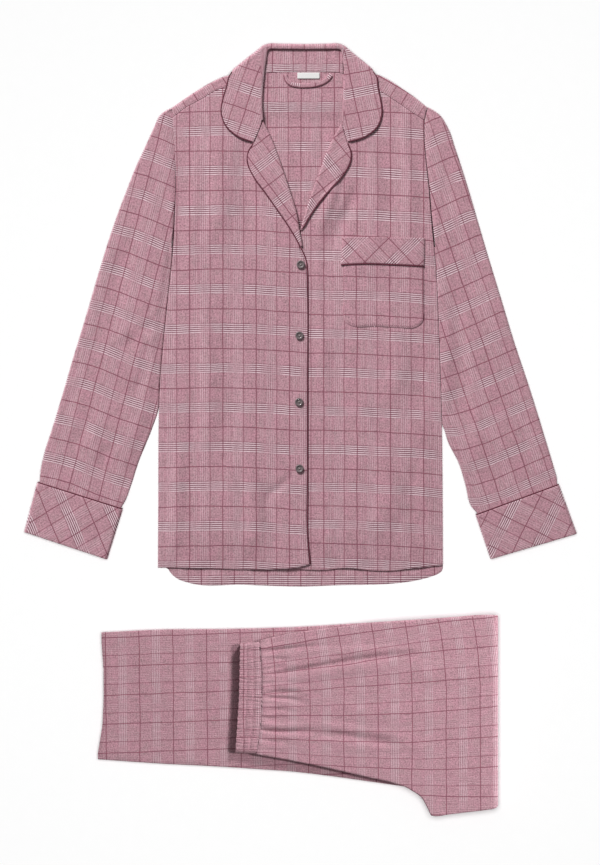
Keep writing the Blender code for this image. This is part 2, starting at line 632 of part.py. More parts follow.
# ---- what lies on the panels ----
def pocket():
    """Patch pocket on the left chest, its bias band and the band's piping."""
    columns, rows = 8, 6
    low = through(POCKET_BOTTOM, columns)
    high = through(POCKET_TOP, columns)
    left = through([low[0], high[0]], rows)
    right = through([low[-1], high[-1]], rows)
    plan = patch(low, high, left, right)
    cloth("pocket", with_height(plan, front_height(1, plan) + LIE), "shirt")
    low, high = through(BAND_BOTTOM, columns), through(BAND_TOP, columns)
    plan = patch(low, high, through([low[0], high[0]], 3), through([low[-1], high[-1]], 3))
    band = with_height(plan, front_height(1, plan) + LIE + CLOTH + 0.45)
    cloth("pocket_band", band, "shirt", slot="flannel_bias")
    path = beside(band[0], band[1])
    path[:, 2] += 0.35
    piping("piping_pocket", path)


def neck_trim():
    """Hanger loop and blank label inside the back neck."""
    line = through(LOOP, 13)
    run = unit(np.gradient(line, axis=0))
    across = np.stack([-run[:, 1], run[:, 0]], axis=1) * LOOP_WIDTH / 2
    top = Z_BACK_NECK + CLOTH / 2 + 0.4
    strip = with_height(np.stack([line - across, line + across], axis=1), top + 0.5)
    cloth("hanger_loop", strip, "shirt", wall=1.0)
    low_x, high_x, low_y, high_y = LABEL
    corners = [[(low_x, low_y), (high_x, low_y)], [(low_x, high_y), (high_x, high_y)]]
    label = with_height(np.array(corners, float), top + LABEL_WALL / 2)
    cloth("neck_label", label, "shirt", slot="label", wall=LABEL_WALL)


def buttons():
    """Four turned buttons with a raised rim on the right front."""
    profile = (
        (0, 0.72), (0.55, 0.72), (0.68, 1), (0.9, 1), (1, 0.75), (1, 0.3), (0.88, 0), (0, 0),
    )  # shares of radius and height, from the middle of the top round to the middle of the underside
    for number, (x, y) in enumerate(BUTTONS, 1):
        mesh = bpy.data.meshes.new(f"button_{number}")
        points = [(r * BUTTON_R * MM, 0, h * BUTTON_H * MM) for r, h in profile]
        mesh.from_pydata(points, [(k, k + 1) for k in range(len(points) - 1)], [])
        made = place(f"button_{number}", mesh, "button", "shirt")
        z = float(front_height(-1, np.array([x, y], float))) + CLOTH / 2 + 0.4
        made.location = (x * MM, y * MM, z * MM)
        turned = made.modifiers.new("turned", "SCREW")
        turned.steps = turned.render_steps = 14
        turned.use_merge_vertices = True
        turned.merge_threshold = 0.00001
        turned.use_normal_calculate = True


# ---- trousers ----
def leg_path(layer):
    """Stations of a flattened leg along the fold: x, upper y, lower y, z, and the way that faces out of the fold.

    layer 0 is the outer leg of the fold, 1 the one inside it.
    """
    lower, upper = np.asarray(LEG_LOWER, float), np.asarray(HIP_UPPER, float)
    z_low, z_high = Z_LOWER[layer], Z_UPPER[layer]
    radius = (z_high - z_low) / 2
    axis_x = FOLD_X - (Z_UPPER[0] - Z_LOWER[0]) / 2 - LEG_MIDDLE - CLOTH / 2
    stations = [(x, top, low, z_low, 0, -1) for x, top, low in lower]
    turn_ends = np.array([lower[-1, 1:], upper[0, 1:]])
    for angle in np.linspace(-90, 90, FOLD_STEPS + 2)[1:-1]:
        share = (angle + 90) / 180
        top, low = mix(turn_ends[0], turn_ends[1], share)
        c, s = math.cos(math.radians(angle)), math.sin(math.radians(angle))
        stations.append((axis_x + radius * c, top, low, (z_low + z_high) / 2 + radius * s, c, s))
    for x, top, low in upper:
        sag = WAIST_SAG * (1 - float(ease(x, -50, 200)))
        stations.append((x, top, low, z_high - sag, 0, 1))
    return np.array(stations)


def hip_folds(x, y):
    """Height added by the gathers that run from the waistband over the hip, deepest at the band."""
    z = np.zeros_like(x)
    for x0, y0, x1, y1, depth, half in HIP_FOLDS:
        along = np.clip((x - x0) / (x1 - x0), 0, 1)
        off = np.abs(y - mix(y0, y1, along)) / (half * (1 + 0.6 * along))
        z += depth * (1 - ease(off, 0, 1)) * (1 - along) ** 0.8 * (1 - ease(x, x1 - 5, x1))
    return z


def leg(layer):
    """A flattened leg tube, laid along the lower run, round the fold and back over the hip to the waistband."""
    stations = leg_path(layer)
    outer_columns, inner_columns = (15, 4) if layer == 0 else (4, 4)
    tuck = np.zeros(len(stations))
    on_top = stations[:, 5] > 0.5
    tuck[on_top == (layer == 1)] = TUCK
    high_y, low_y = stations[:, 1] - tuck - LEG_MIDDLE - CLOTH / 2, stations[:, 2] + tuck + LEG_MIDDLE + CLOTH / 2
    centre = stations[:, [0, 3]]
    out = stations[:, 4:6]
    rings = []
    for columns, facing in ((outer_columns, 1), (inner_columns, -1)):
        shares = np.linspace(0, 1, columns)[::facing]
        y = mix(high_y[:, None], low_y[:, None], shares[None])
        xz = centre[:, None] + out[:, None] * facing * LEG_MIDDLE
        xz = np.broadcast_to(xz, (*y.shape, 2)).copy()
        if layer == 0 and facing == 1:
            xz[..., 1] += hip_folds(xz[..., 0], y) * (stations[:, 5:6] == 1)
        rings.append(np.stack([xz[..., 0], y, xz[..., 1]], axis=-1))
        end = low_y if facing == 1 else high_y
        cap = np.stack([centre[:, 0], end - facing * LEG_MIDDLE, centre[:, 1]], axis=-1)
        rings.append(cap[:, None])
    cloth("leg_left" if layer == 0 else "leg_right", np.concatenate(rings, axis=1), "trousers", ring=True)


def waistband():
    """The waistband: a closed loop flattened and folded in half, four layers high, gathered on top."""
    z1, z2, z3, z4 = Z_WAIST
    small, large = (z2 - z1) / 2, (z4 - z1) / 2
    table = np.asarray(WAISTBAND, float)
    rows = []
    for t in (0, 0.5, 1):
        high = mix(WAIST_Y[0], WAIST_Y[1], t) - small - RIB / 2
        low = mix(WAIST_Y[2], WAIST_Y[3], t) + large + RIB / 2
        loop = []
        shares = np.linspace(0, 1, 2 * GATHERS + 1)
        swell = 0.75 + 0.25 * np.sin(shares * 41)
        crest = np.where(np.arange(len(shares)) % 2, swell, 0) * GATHER_DEPTH
        loop += [(mix(high, low, s), z4 + c) for s, c in zip(shares, crest)]
        loop += [(low - large * math.cos(a), (z1 + z4) / 2 + large * math.sin(a)) for a in np.radians([45, 0, -45])]
        loop += [(mix(low, high, s), z1) for s in np.linspace(0, 1, 6)]
        loop += [(high + small, (z1 + z2) / 2)]
        loop += [(mix(high, low, s), z2) for s in np.linspace(0, 1, 6)]
        loop += [(low - small, (z2 + z3) / 2)]
        loop += [(mix(low, high, s), z3) for s in np.linspace(0, 1, 6)]
        loop += [(high + small, (z3 + z4) / 2)]
        y, z = np.array(loop).T
        share = np.clip((y - WAIST_Y[0]) / (WAIST_Y[2] - WAIST_Y[0]), 0, 1)
        seam_x, end_x = (np.interp(share, table[:, 0], table[:, k]) for k in (1, 2))
        rows.append(np.stack([mix(seam_x - SEAM, end_x, t), y, z], axis=1))
    cloth("waistband", np.stack(rows), "trousers", wall=RIB, ring=True)


def centre():
    """Move the garments so that the whole set stands on z = 0 with its box centred on the origin."""
    graph = bpy.context.evaluated_depsgraph_get()
    corners = []
    for item in bpy.data.collections["pyjama_set"].objects:
        if item.type == "EMPTY":
            continue
        shown = item.evaluated_get(graph)
        points = np.array([shown.matrix_world @ vertex.co for vertex in shown.to_mesh().vertices])
        shown.to_mesh_clear()
        corners += [points.min(axis=0), points.max(axis=0)]
    low, high = np.min(corners, axis=0), np.max(corners, axis=0)
    for garment in ("shirt", "trousers"):
        bpy.data.objects[garment].location = (*(-(low + high) / 2)[:2], -low[2])


def main():
    for old in list(bpy.data.objects):
        bpy.data.objects.remove(old)
    collection = bpy.data.collections.new("pyjama_set")
    bpy.context.scene.collection.children.link(collection)
    for garment in ("shirt", "trousers"):
        collection.objects.link(bpy.data.objects.new(garment, None))
    back()
    fronts()
    for side in (-1, 1):
        sleeve(side)
        cuff(side)
        lapel(side)
    collar()
    pocket()
    neck_trim()
    buttons()
    leg(0)
    leg(1)
    waistband()
    centre()


main()
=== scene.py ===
"""Finish of a flannel pyjama set that lies flat: cloth, piping, buttons, sewing, light and camera.

Every piece of cloth is a surface worked out on a grid with numpy and given its wall by Solidify. Its UV map, "weave",
holds the place on the woven cloth in metres: u across the warp, v down the length, both 0 where two burgundy lines
of the check cross. Tables are in millimetres on the laid-out set: x towards the wearer's left, y towards the collar.
"""
import math

import bpy
import numpy as np
from bpy.props import FloatProperty, FloatVectorProperty, IntProperty, PointerProperty
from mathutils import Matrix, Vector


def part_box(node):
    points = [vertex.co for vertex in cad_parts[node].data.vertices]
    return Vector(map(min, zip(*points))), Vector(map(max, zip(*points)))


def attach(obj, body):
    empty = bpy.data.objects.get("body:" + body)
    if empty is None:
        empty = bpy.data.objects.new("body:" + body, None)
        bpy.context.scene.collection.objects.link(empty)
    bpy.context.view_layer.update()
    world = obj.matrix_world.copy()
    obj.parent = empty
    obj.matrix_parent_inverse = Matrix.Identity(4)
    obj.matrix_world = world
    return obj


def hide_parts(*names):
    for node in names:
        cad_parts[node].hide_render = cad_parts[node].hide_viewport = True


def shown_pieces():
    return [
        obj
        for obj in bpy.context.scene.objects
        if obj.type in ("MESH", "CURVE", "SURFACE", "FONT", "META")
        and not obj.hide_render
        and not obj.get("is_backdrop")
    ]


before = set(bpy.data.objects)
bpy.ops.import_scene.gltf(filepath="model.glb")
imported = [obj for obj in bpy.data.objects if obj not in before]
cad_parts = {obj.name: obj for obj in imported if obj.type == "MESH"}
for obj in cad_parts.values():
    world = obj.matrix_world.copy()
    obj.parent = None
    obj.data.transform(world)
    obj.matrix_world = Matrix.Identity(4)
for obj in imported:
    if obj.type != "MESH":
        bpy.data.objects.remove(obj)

bl_info = {
    "name": "Pyjama set",
    "version": (1, 0, 0),
    "blender": (4, 5, 0),
    "location": "View3D > Sidebar > Pyjamas",
    "description": "Flannel pyjama set laid flat, with its checks, piping, buttons and sewing",
    "category": "Object",
}

MM = 0.001

# ---- cloth walls and heights, mm ----
CLOTH = 1.2
RIB = 1.6
CUFF = 1.8
SEAM = 0.45
REST = 0.6
LIE = 1.9
POCKET_LIE = 1.2
POCKET_WALL = 1.0
RIM = 0.5
PIPING = 0.78
BESIDE = PIPING + 0.35
BUTTON_R = 5.75
BUTTON_H = 2.4
Z_BACK_NECK = 3.0
Z_UNDERLAP = 3.05
Z_OVERLAP = 4.4
Z_CHEST = 4.7
Z_SIDE = 2.15
Z_SLEEVE = 4.6
Z_SHOULDER = 5.0
Z_LEAF = Z_SHOULDER + LIE + 0.1

# ---- edges of the shirt: x, y ----
SIDE_RIGHT = (
    (-199, -193.6), (-198.5, -99), (-198, -1), (-196.2, 62), (-191, 125), (-185.2, 181), (-180.2, 226),
    (-177.4, 257), (-175.3, 300), (-174, 342), (-175.3, 384), (-177.4, 419), (-178.4, 436), (-180.5, 449),
)
SIDE_LEFT = (
    (199.6, -190), (199.2, -99), (198.4, -15), (196.4, 55), (194.3, 118), (192.1, 174), (189.5, 226),
    (186.5, 257), (182.4, 300), (179.4, 339), (175.4, 377), (172.8, 412), (173, 432), (178, 450),
)
CENTRE_RIGHT = (
    (12.4, -189), (9.3, -150), (9.2, -60), (9.2, 60), (9.2, 195), (7.8, 224), (4, 240), (-0.8, 251), (-2.4, 262),
    (-4, 281), (-7.6, 304), (-15.3, 328), (-25.3, 358), (-35, 386), (-44.8, 411), (-54.3, 429.5),
)
CENTRE_LEFT = (
    (-13, -195), (-13, -60), (-13, 80), (-13, 200), (-12.5, 226), (-9, 245), (-3.5, 262), (2.5, 278), (7.5, 294),
    (13.5, 315), (21, 337), (30.4, 361), (40.2, 389), (49.9, 409), (60.5, 427),
)
HEM_RIGHT = ((-199, -193.6), (-150, -194), (-80, -196), (-30, -195.5), (0, -192.5), (12.4, -189))
HEM_LEFT = ((199.6, -190), (160, -194), (128, -198), (100, -197.5), (66, -194), (30, -197), (-13, -195))
HEM_BACK = (
    (-199, -193.6), (-190, -193), (-185.5, -195), (-181, -201.5), (-172.5, -208.8), (-154, -215.3), (-80, -217.5),
    (0, -220), (61, -218), (128, -216), (160, -212), (183, -206.2), (194, -201.8), (198.8, -197.5), (199.6, -190),
)
SEAM_RIGHT = ((-178.4, 436), (-160, 450), (-136, 463), (-119, 473), (-104, 478), (-90, 479.5), (-76, 475.3))
SEAM_LEFT = ((173, 432), (147, 449.5), (130, 461), (111, 473), (97, 478.5), (87, 475.3))
NECK_RIGHT = ((-66.5, 434), (-75.2, 445), (-79.2, 457), (-79, 467), (-76, 475.3))
NECK_LEFT = ((73.2, 431), (83.6, 441.5), (89.6, 455), (89.8, 466), (87, 475.3))
FOLD_RIGHT = ((-180.5, 449), (-146.8, 472), (-119.6, 487.6), (-104, 494), (-90, 496), (-74, 495.5), (-58, 493.5))
FOLD_LEFT = ((178, 450), (163.4, 462), (146.4, 474), (119.2, 491), (106, 496.5), (88, 497), (69, 493.5))
NECK_BACK = ((-58, 493.5), (-49, 498), (-35, 499.3), (6, 500.3), (44, 499.4), (58, 498), (69, 493.5))

# ---- sleeves and cuffs: outer x, y, inner x, y ----
SLEEVE_RIGHT = (
    (-181.5, 449.5, -177.9, 254), (-195.5, 440, -178.3, 250.5), (-204.5, 422, -179.4, 243.5),
    (-214.5, 400, -180.9, 236), (-228.5, 370, -183.7, 221),
    (-244, 331, -186.5, 201), (-259.3, 290, -189.8, 173), (-279, 228.5, -193.9, 129), (-303, 147, -198.6, 68),
    (-318.5, 96.5, -198, 31), (-333, 46.5, -207.3, 1), (-347.5, -1, -226.4, -46.5), (-359, -37.4, -237, -79.4), (-363.5, -61, -244.8, -100),
    (-364.6, -75, -251.8, -112.4), (-370.4, -99, -259, -135),
)
SLEEVE_LEFT = (
    (179.3, 450.5, 187.4, 255), (194.5, 440.5, 188, 251.5), (206.5, 422.5, 188.9, 246),
    (217.6, 391, 190.8, 235), (229.6, 354.5, 192.4, 219),
    (248.8, 290, 195, 182), (262.8, 242.5, 197, 150), (278.2, 192, 198.4, 108), (302, 114, 200.2, 56),
    (313.5, 80, 198.8, 18), (324.4, 46.5, 205.2, -13), (340, -4, 221.5, -47), (355, -54, 232, -81), (358.8, -68, 238.8, -107),
    (359.8, -78, 248.8, -119), (367.8, -101, 256.5, -142),
)
LIFT_FROM = 11
ROUND_STEPS = 5
GROOVE = 0.5
ARMHOLE_GAP = {-1: -0.6, 1: 0.05}
FALL = {-1: 2.2, 1: 0.3}
UNDER_GROOVE = 2.0
LEAVES_BODY = {-1: 25, 1: -3}
Z_CUFFED = (2.95, 4.5)
CUFF_RIGHT = ((-368, -75, -248.3, -112.6), (-386.3, -144, -270, -182.3))
CUFF_LEFT = ((362.2, -78, 245.6, -120.6), (387, -146, 266.3, -182))
Z_CUFF = (0.9, 6.6)

# ---- collar: roll x, y, middle x, y, edge x, y, share of the leaf before the fold's columns ----
LEAF_RIGHT = (
    (-51.6, 432.8, -58.8, 416.8, -65.4, 402, 0.45),
    (-52.3, 442, -71.8, 424, -88, 411, 0.45),
    (-52.8, 452.5, -80, 439, -104, 426, 0.45),
    (-52.7, 465, -80, 456, -109.7, 444, 0.5),
    (-52, 478, -79, 471, -107, 462.3, 0.6),
    (-51.2, 487, -75, 485, -101.5, 481, 0.75),
    (-50.3, 495, -73, 495.5, -98.5, 493, 0.88),
)
LEAF_LEFT = (
    (57.6, 430.4, 62.6, 415.8, 66.2, 402.6, 0.45),
    (57.8, 440, 75.4, 422.7, 89, 409.5, 0.45),
    (58.3, 451, 83.6, 436.5, 106.5, 423, 0.45),
    (59.3, 463.7, 85, 453, 113, 441, 0.5),
    (59.8, 477.7, 84.3, 468.5, 111.6, 459, 0.6),
    (60.2, 487, 83, 485, 107.5, 479, 0.75),
    (60.6, 495, 82, 495.5, 106, 491.5, 0.88),
)
# roll x, y, fold x, y, edge x, y, share of the turn under the back
BEHIND = (
    (-49.6, 502, -97, 498.5, -87, 497, 0.15),
    (-48.9, 507.5, -94.6, 502.3, -86, 497.5, 0.6),
    (-48.1, 512.5, -91, 506, -83, 498.5, 0.85),
    (-47.3, 517.5, -85, 510.8, -77, 499, 1),
    (-46.6, 523, -72.5, 520.7, -65, 493, 1),
    (-45.6, 528, -59, 531.2, -55.5, 483, 1),
    (-44, 530.6, -50.5, 537.6, -49, 477, 1),
    (-41.3, 531.3, -44.5, 539.3, -44, 473, 1),
    (-27, 531.4, -27, 539.4, -27, 469, 1),
    (6, 531, 6, 538.8, 6, 467, 1),
    (40, 531.4, 40, 539.4, 39.5, 468.6, 1),
    (52.5, 531.3, 55, 539.3, 54, 473, 1),
    (56, 530.6, 61, 536.9, 59, 477, 1),
    (57.6, 528, 69.5, 530, 65, 483.5, 1),
    (58.6, 523, 82.5, 519.4, 74.5, 493, 1),
    (59.2, 517.5, 93, 511, 85, 499.5, 1),
    (59.8, 512.5, 98, 506.8, 90.5, 499.5, 0.85),
    (60.3, 507.5, 101.5, 503, 93.5, 498.5, 0.6),
    (60.5, 502, 103.8, 499, 95, 497.5, 0.15),
)
NECK_MIDDLE = (5, 470)
Z_STAND = 3.6
STAND_SEAM = ((-51, 497.2), (-46, 498.5), (-35, 499.3), (6, 500.2), (44, 499.4), (55, 498.6), (60, 497.7))
STAND_TOP = ((-48.5, 531), (-43, 534.6), (-34, 535.2), (6, 534.8), (46, 535.3), (54, 534.8), (59.4, 531))
# ---- lapels: outer x, y, roll x, y, from the gorge down ----
LAPEL_RIGHT = (
    (-64.9, 399, -51.8, 430.5), (-71.5, 388, -42.3, 412), (-73.2, 375.5, -32.5, 387), (-64.8, 354.5, -22.8, 359.3),
    (-48, 331, -12.9, 329.3), (-30, 305.5, -5.3, 304), (-14, 282, -1.2, 281), (-4.5, 266, 1.6, 266),
    (0.3, 256.5, 3.4, 256.5),
)
LAPEL_LEFT = (
    (65.4, 399.6, 57.4, 427.7), (70, 387, 46.5, 408.4), (69.4, 375.5, 36.8, 388), (60, 357.3, 27, 360),
    (39.8, 334, 17.8, 336.3), (23.5, 314.6, 10.6, 314.6), (10.2, 294.5, 4.6, 294.5), (5.2, 285.5, 1.9, 285.5),
    (2.4, 279, 0.1, 279),
)
FRONT_PIPING = (
    (2.8, 250.2, 6.2), (4.6, 246, 5.6), (6.9, 240, 5), (8.8, 233.5, 4.6), (10, 223, 4.35), (10.7, 195, 4.3),
    (10.7, 110, 4.3), (10.6, 0, 4.3), (10.6, -90, 4.3), (10.8, -150, 4.3), (12.6, -175, 4.3), (14, -188.5, 4.3),
)

# ---- pocket, buttons, loop and label ----
POCKET_TOP = ((60.6, 263), (173, 263))
POCKET_BOTTOM = ((60.6, 163), (63, 150), (73, 144.5), (105, 143.8), (140, 142), (160, 142), (170.5, 149), (173, 163))
BAND_TOP = ((59, 269), (116, 268.6), (174, 267.5))
BAND_BOTTOM = ((56.9, 231), (90, 232.3), (133, 231), (173.4, 229))
BUTTONS = ((0.6, 230.3), (-1.1, 131), (-1.7, 38), (-1, -55))
LOOP = ((-21.5, 496), (-19, 488.5), (-12, 482.8), (-3, 481), (8, 480.7), (23, 482.3), (33, 486), (39, 490.5), (43, 496))
LOOP_WIDTH = 6.2
LABEL = (-4, 27, 490.5, 498.8)

# ---- trousers: x, upper y, lower y ----
LEG_LOWER = (
    (-274.5, -284, -461.5), (-188, -280, -467.5), (-110, -279.3, -471.5), (-14, -276.8, -478.4), (100, -270, -493),
    (200, -263.5, -509), (262, -259.4, -522),
)
HIP_UPPER = (
    (262, -259.4, -531), (236, -261.4, -534.2), (208, -263.1, -537.6), (186.5, -264.1, -540), (182.8, -264.2, -539.3),
    (179.6, -264.4, -532.6), (172.5, -265.2, -518.6), (156, -266.5, -504.5), (128, -268.2, -493.2), (97.6, -270.5, -486.4),
    (62.6, -275, -478.4), (27.5, -279, -470.6), (-5.4, -283.4, -464), (-34, -289.4, -458), (-52.5, -294.5, -454),
)
FOLD_X = 276.5
FOLD_STEPS = 5
LEG_MIDDLE = 1.1
Z_LOWER = (1.7, 5.5)
Z_UPPER = (15.8, 12.0)
WAIST_SAG = 1.8
TUCK = 1.2
WAISTBAND = ((0, -56, -84), (0.25, -53.2, -84.6), (0.5, -53, -85.6), (0.75, -54.6, -88), (1, -61, -90.8))
WAIST_Y = (-297, -299.5, -453, -451.5)
Z_WAIST = (8.6, 11.1, 13.6, 16.1)
GATHERS = 37
GATHER_DEPTH = 1.15

# ---- creases, listed one by one: x, y at one end, x, y at the other, depth (below 0 a trough), half width ----
FRONT_CREASES = (
    (-120, 400, -112, 255, 2.74, 14), (-78, 405, -74, 255, -2.01, 12), (-133, 188, -131, -40, 2.19, 11),
    (-96, 170, -98, -20, -1.27, 12), (-70, -36, -67, -192, 2.38, 11), (-40, -60, -38, -190, -1.46, 10),
    (-176, -40, -178, -186, 1.82, 10), (-150, 60, -146, -150, -1.27, 12), (-18, -66, -48, -104, -1.46, 6),
    (-150, 380, -152, 210, 1.27, 12), (-40, 190, -33, 20, -1.09, 12), (-98, -40, -92, -180, 1.27, 12),
    (22, 262, 26, 60, 3, 8), (50, 352, 18, 262, 3, 8), (76, 338, 44, 246, -2.56, 9), (106, 390, 92, 205, 1.27, 12),
    (149, 436, 153, 268, 2.01, 10), (174, 420, 176, 280, -1.27, 8), (131, 146, 134, 36, 2.19, 12),
    (162, 130, 166, 20, -1.46, 11), (118, -24, 122, -140, 2.74, 15), (160, -40, 166, -170, -1.82, 12),
    (60, 150, 50, -120, -1.09, 12), (92, 60, 88, -60, 1.27, 12), (148, -130, 152, -190, 1.09, 10),
    (112, 415, 124, 290, -1.09, 12), (30, -90, 42, -190, 1.46, 10), (86, 222, 112, 176, -1.27, 9),
)
BACK_CREASES = (
    (-8.7, 401, -2, 326, -1.0, 3.5), (30.5, 438, 31, 372, -1.1, 3), (31, 372, 26, 300, -0.7, 4),
    (12, 420, 14, 300, 0.5, 7), (-34, 450, -20, 340, 0.35, 9), (44, 420, 38, 350, 0.4, 7),
    (-60, -196, -58, -222, 0.9, 12), (70, -192, 72, -222, 0.7, 14), (-120, -196, -122, -220, 0.6, 11),
    (130, -192, 128, -218, 0.6, 12), (8, -192, 6, -222, 0.6, 12),
)
SLEEVE_CREASES = (
    (-206, 152, -250, 104, -1.26, 9), (-200, 130, -262, 132, 0.84, 9), (-318, 60, -345, -30, -0.98, 12),
    (-282, 40, -300, -70, 0.84, 12), (-232, 290, -252, 200, -0.7, 10), (-205, 330, -222, 240, 0.7, 11),
    (-262, -10, -286, -86, -0.98, 9), (-330, 20, -352, -60, 0.7, 10), (-290, 150, -320, 60, 0.56, 12),
    (206, 330, 222, 230, -0.7, 11), (250, 200, 282, 90, 0.7, 12), (214, 140, 258, 60, -0.98, 10),
    (300, 60, 332, -40, -0.84, 12), (262, -20, 292, -92, -0.84, 10), (322, 0, 346, -70, 0.7, 11),
    (232, 280, 262, 180, -0.56, 11), (240, 40, 262, -50, 0.7, 9), (214, 172, 231, 6, -2.6, 11),
    (-214, 120, -226, 40, -1.4, 8), (-246, 250, -292, 90, -1.26, 14), (-300, 20, -322, -70, -1.26, 12),
)
CUFF_CREASES = (
    (-300, -98, -330, -160, 0.5, 10), (-352, -90, -372, -150, -0.4, 9), (-268, -112, -288, -172, -0.5, 8),
    (300, -102, 330, -160, 0.5, 10), (344, -88, 366, -150, -0.4, 9), (262, -122, 286, -180, -0.4, 8),
)
# the first seven are also in the solid
HIP_FOLDS = (
    (-53, -306, 104, -279, 1.6, 6),
    (-53, -321, -10, -316, 0.9, 5.5),
    (-53, -343, 116, -313, 1.4, 6.5),
    (-52, -368, 24, -363, 1.2, 5.5),
    (-52, -386, 10, -383, 0.9, 5),
    (-54, -414, 14, -418, 1.3, 6),
    (-57, -437, -14, -440, 0.8, 5),
)
HIP_CREASES = (
    (-46, -341, 152, -313, -2.5, 4), (-46, -331, 150, -303, 1.6, 6), (-46, -353, 120, -330, 1.3, 6),
    (-52, -309, 104, -291, -2.1, 3.4), (-50, -301, 100, -283, 1.2, 4.5), (-52, -320, 90, -305, 1.0, 4.5),
    (-52, -294, 26, -277, -1.9, 3.2), (-50, -322, -18, -318, -1.8, 2.8), (-52, -335, -22, -332, -1.5, 2.6),
    (-50, -369.5, -4, -364.5, -2.1, 2.9), (-52, -373, 4, -380, -2.0, 3), (-50, -362, 10, -358, 1.0, 4),
    (-54, -419.5, 18, -422.5, -2.2, 3.4), (-54, -412, 16, -414, 1.0, 4), (24, -424, 140, -439, -1.8, 6),
    (20, -414, 150, -427, 1.2, 7), (128, -473, 190, -480, -1.5, 5), (120, -464, 196, -470, 1.0, 6),
    (60, -446, 190, -456, 1.0, 12), (40, -392, 200, -398, 0.9, 14), (-54, -445, 30, -460, -0.8, 4),
    (120, -344, 236, -330, 0.9, 13), (-52, -393, -8, -394, -0.9, 3), (-52, -354, -12, -350, -0.9, 3),
    (-54, -402, -14, -404, -0.8, 3), (-54, -432, -10, -438, -0.8, 3), (20, -300, 200, -276, -0.8, 5),
)
LEG_CREASES = (
    (-236, -300, -232, -450, -0.4, 11), (-180, -310, -176, -440, 0.35, 12), (-140, -300, -142, -460, -0.4, 10),
    (-110, -462, 40, -478, -0.5, 6), (-262, -330, -180, -336, -0.3, 9),
)

REPEAT_U = 46.6
REPEAT_V = 55.2
LEAD = 4.0
WARP_MAIN = ((0, 1.3, 0.82),)
WARP_SIDE = ((28.7, 1.15, 0.62), (8, 1.2, 0.16), (10.8, 1.2, 0.1), (16.8, 1.3, 0.16), (19.6, 1.3, 0.2), (22.4, 1.3, 0.16))
WARP_WHITE = (
    (6.6, 1.2, 0.34), (9.4, 1.2, 0.34), (15.4, 1.3, 0.48), (18.2, 1.3, 0.62), (21, 1.3, 0.62), (23.8, 1.3, 0.48), (26.4, 1, 0.26),
)
WEFT_MAIN = ((0, 1.3, 0.84),)
WEFT_SIDE = ((20.3, 1.3, 0.6), (23.1, 1.4, 0.78), (25.9, 1.4, 0.88), (28.7, 1.4, 0.88), (31.5, 1.4, 0.74), (34.3, 1.2, 0.25))
WEFT_WHITE = ((21.7, 1.4, 0.8), (24.5, 1.4, 1), (27.3, 1.4, 1), (30.1, 1.4, 1), (32.9, 1.4, 0.9))

# ---- how the check lies on each piece: offset and drop of a weft line, and places of whole lines, mm ----
DROP_RIGHT = ((-178, 1.4), (-140, 0.3), (-105, 0), (-60, 1.2), (-20, 4), (10, 6))
DROP_LEFT = ((8, -1.4), (80, 0), (125, 2.2), (165, 4.5), (200, 8))
ROWS_LEFT = (445.6, 388.9, 329.4, 269.9, 213.2, 159.3, 105.4, 51.5, -2.5, -56.4, -108.2, -160.7)
SLEEVE_CHECK_RIGHT = (
    -280.9, 85.3, 0.2564, 1.014,
    ((-63, -14), (-42, -9.9), (-21, -5.5), (0, 0), (21, 7.8), (42, 15.8), (84, 28.6), (112, 37.1)),
    (407.2, 353.6, 300, 246.3, 192.7, 139.1, 85.5, 31.9, -21.8, -75.4, -129),
)
SLEEVE_CHECK_LEFT = (
    263.6, 96.1, -0.339, 0.95,
    ((-78, 26), (-45, 17.2), (0, 0), (39, -15.4), (63, -22.4)),
    (419, 363.7, 308.6, 253.6, 200.3, 147.9, 96.1, 45.7, -2.9, -51.7, -99),
)
HIP_X = (-50.8, 61, 155.8, 203.4, 273.4)
HIP_LINES = (
    (-305.6, -287.2, -274.8, -268.2, -262),
    (-341.8, -329.6, -313, -308.2, -302.6),
    (-370.1, -360, -354.3, -350.5, -345),
    (-400, -399.4, -396.3, -392.5, -386.8),
    (-431, -436, -437.3, -433.5, -429.3),
    (-463, -470.7, -474.3, -474.8, -470.6),
    (-495.3, -505, -510, -512.3, -512.7),
)
LEG_SCALE = (0.867, 0.852)
HIP_SCALE = (0.9, 0.862)


# ---- settings ----
class PyjamaCloth(bpy.types.PropertyGroup):
    """Colours and grid of the flannel."""

    rose: FloatVectorProperty(name="Rose", description="Ground colour", subtype="COLOR", default=(0.535, 0.275, 0.335))
    grey: FloatVectorProperty(name="Heather", description="Greyer threads", subtype="COLOR", default=(0.49, 0.285, 0.325))
    plum: FloatVectorProperty(name="Plum", description="Lines between the white ones", subtype="COLOR", default=(0.16, 0.042, 0.07))
    red: FloatVectorProperty(name="Red", description="Lighter lines", subtype="COLOR", default=(0.29, 0.052, 0.098))
    white: FloatVectorProperty(name="White lines", description="Light threads", subtype="COLOR", default=(0.84, 0.64, 0.69))
    dark: FloatVectorProperty(name="Overcheck", description="Burgundy lines", subtype="COLOR", default=(0.18, 0.036, 0.066))
    step: FloatProperty(name="Grid", description="Spacing of the cloth's grid", unit="LENGTH", default=0.0036, min=0.001)
    nap: FloatProperty(name="Nap", description="Sheen of the brushed side", subtype="FACTOR", default=0.25, min=0, max=1)


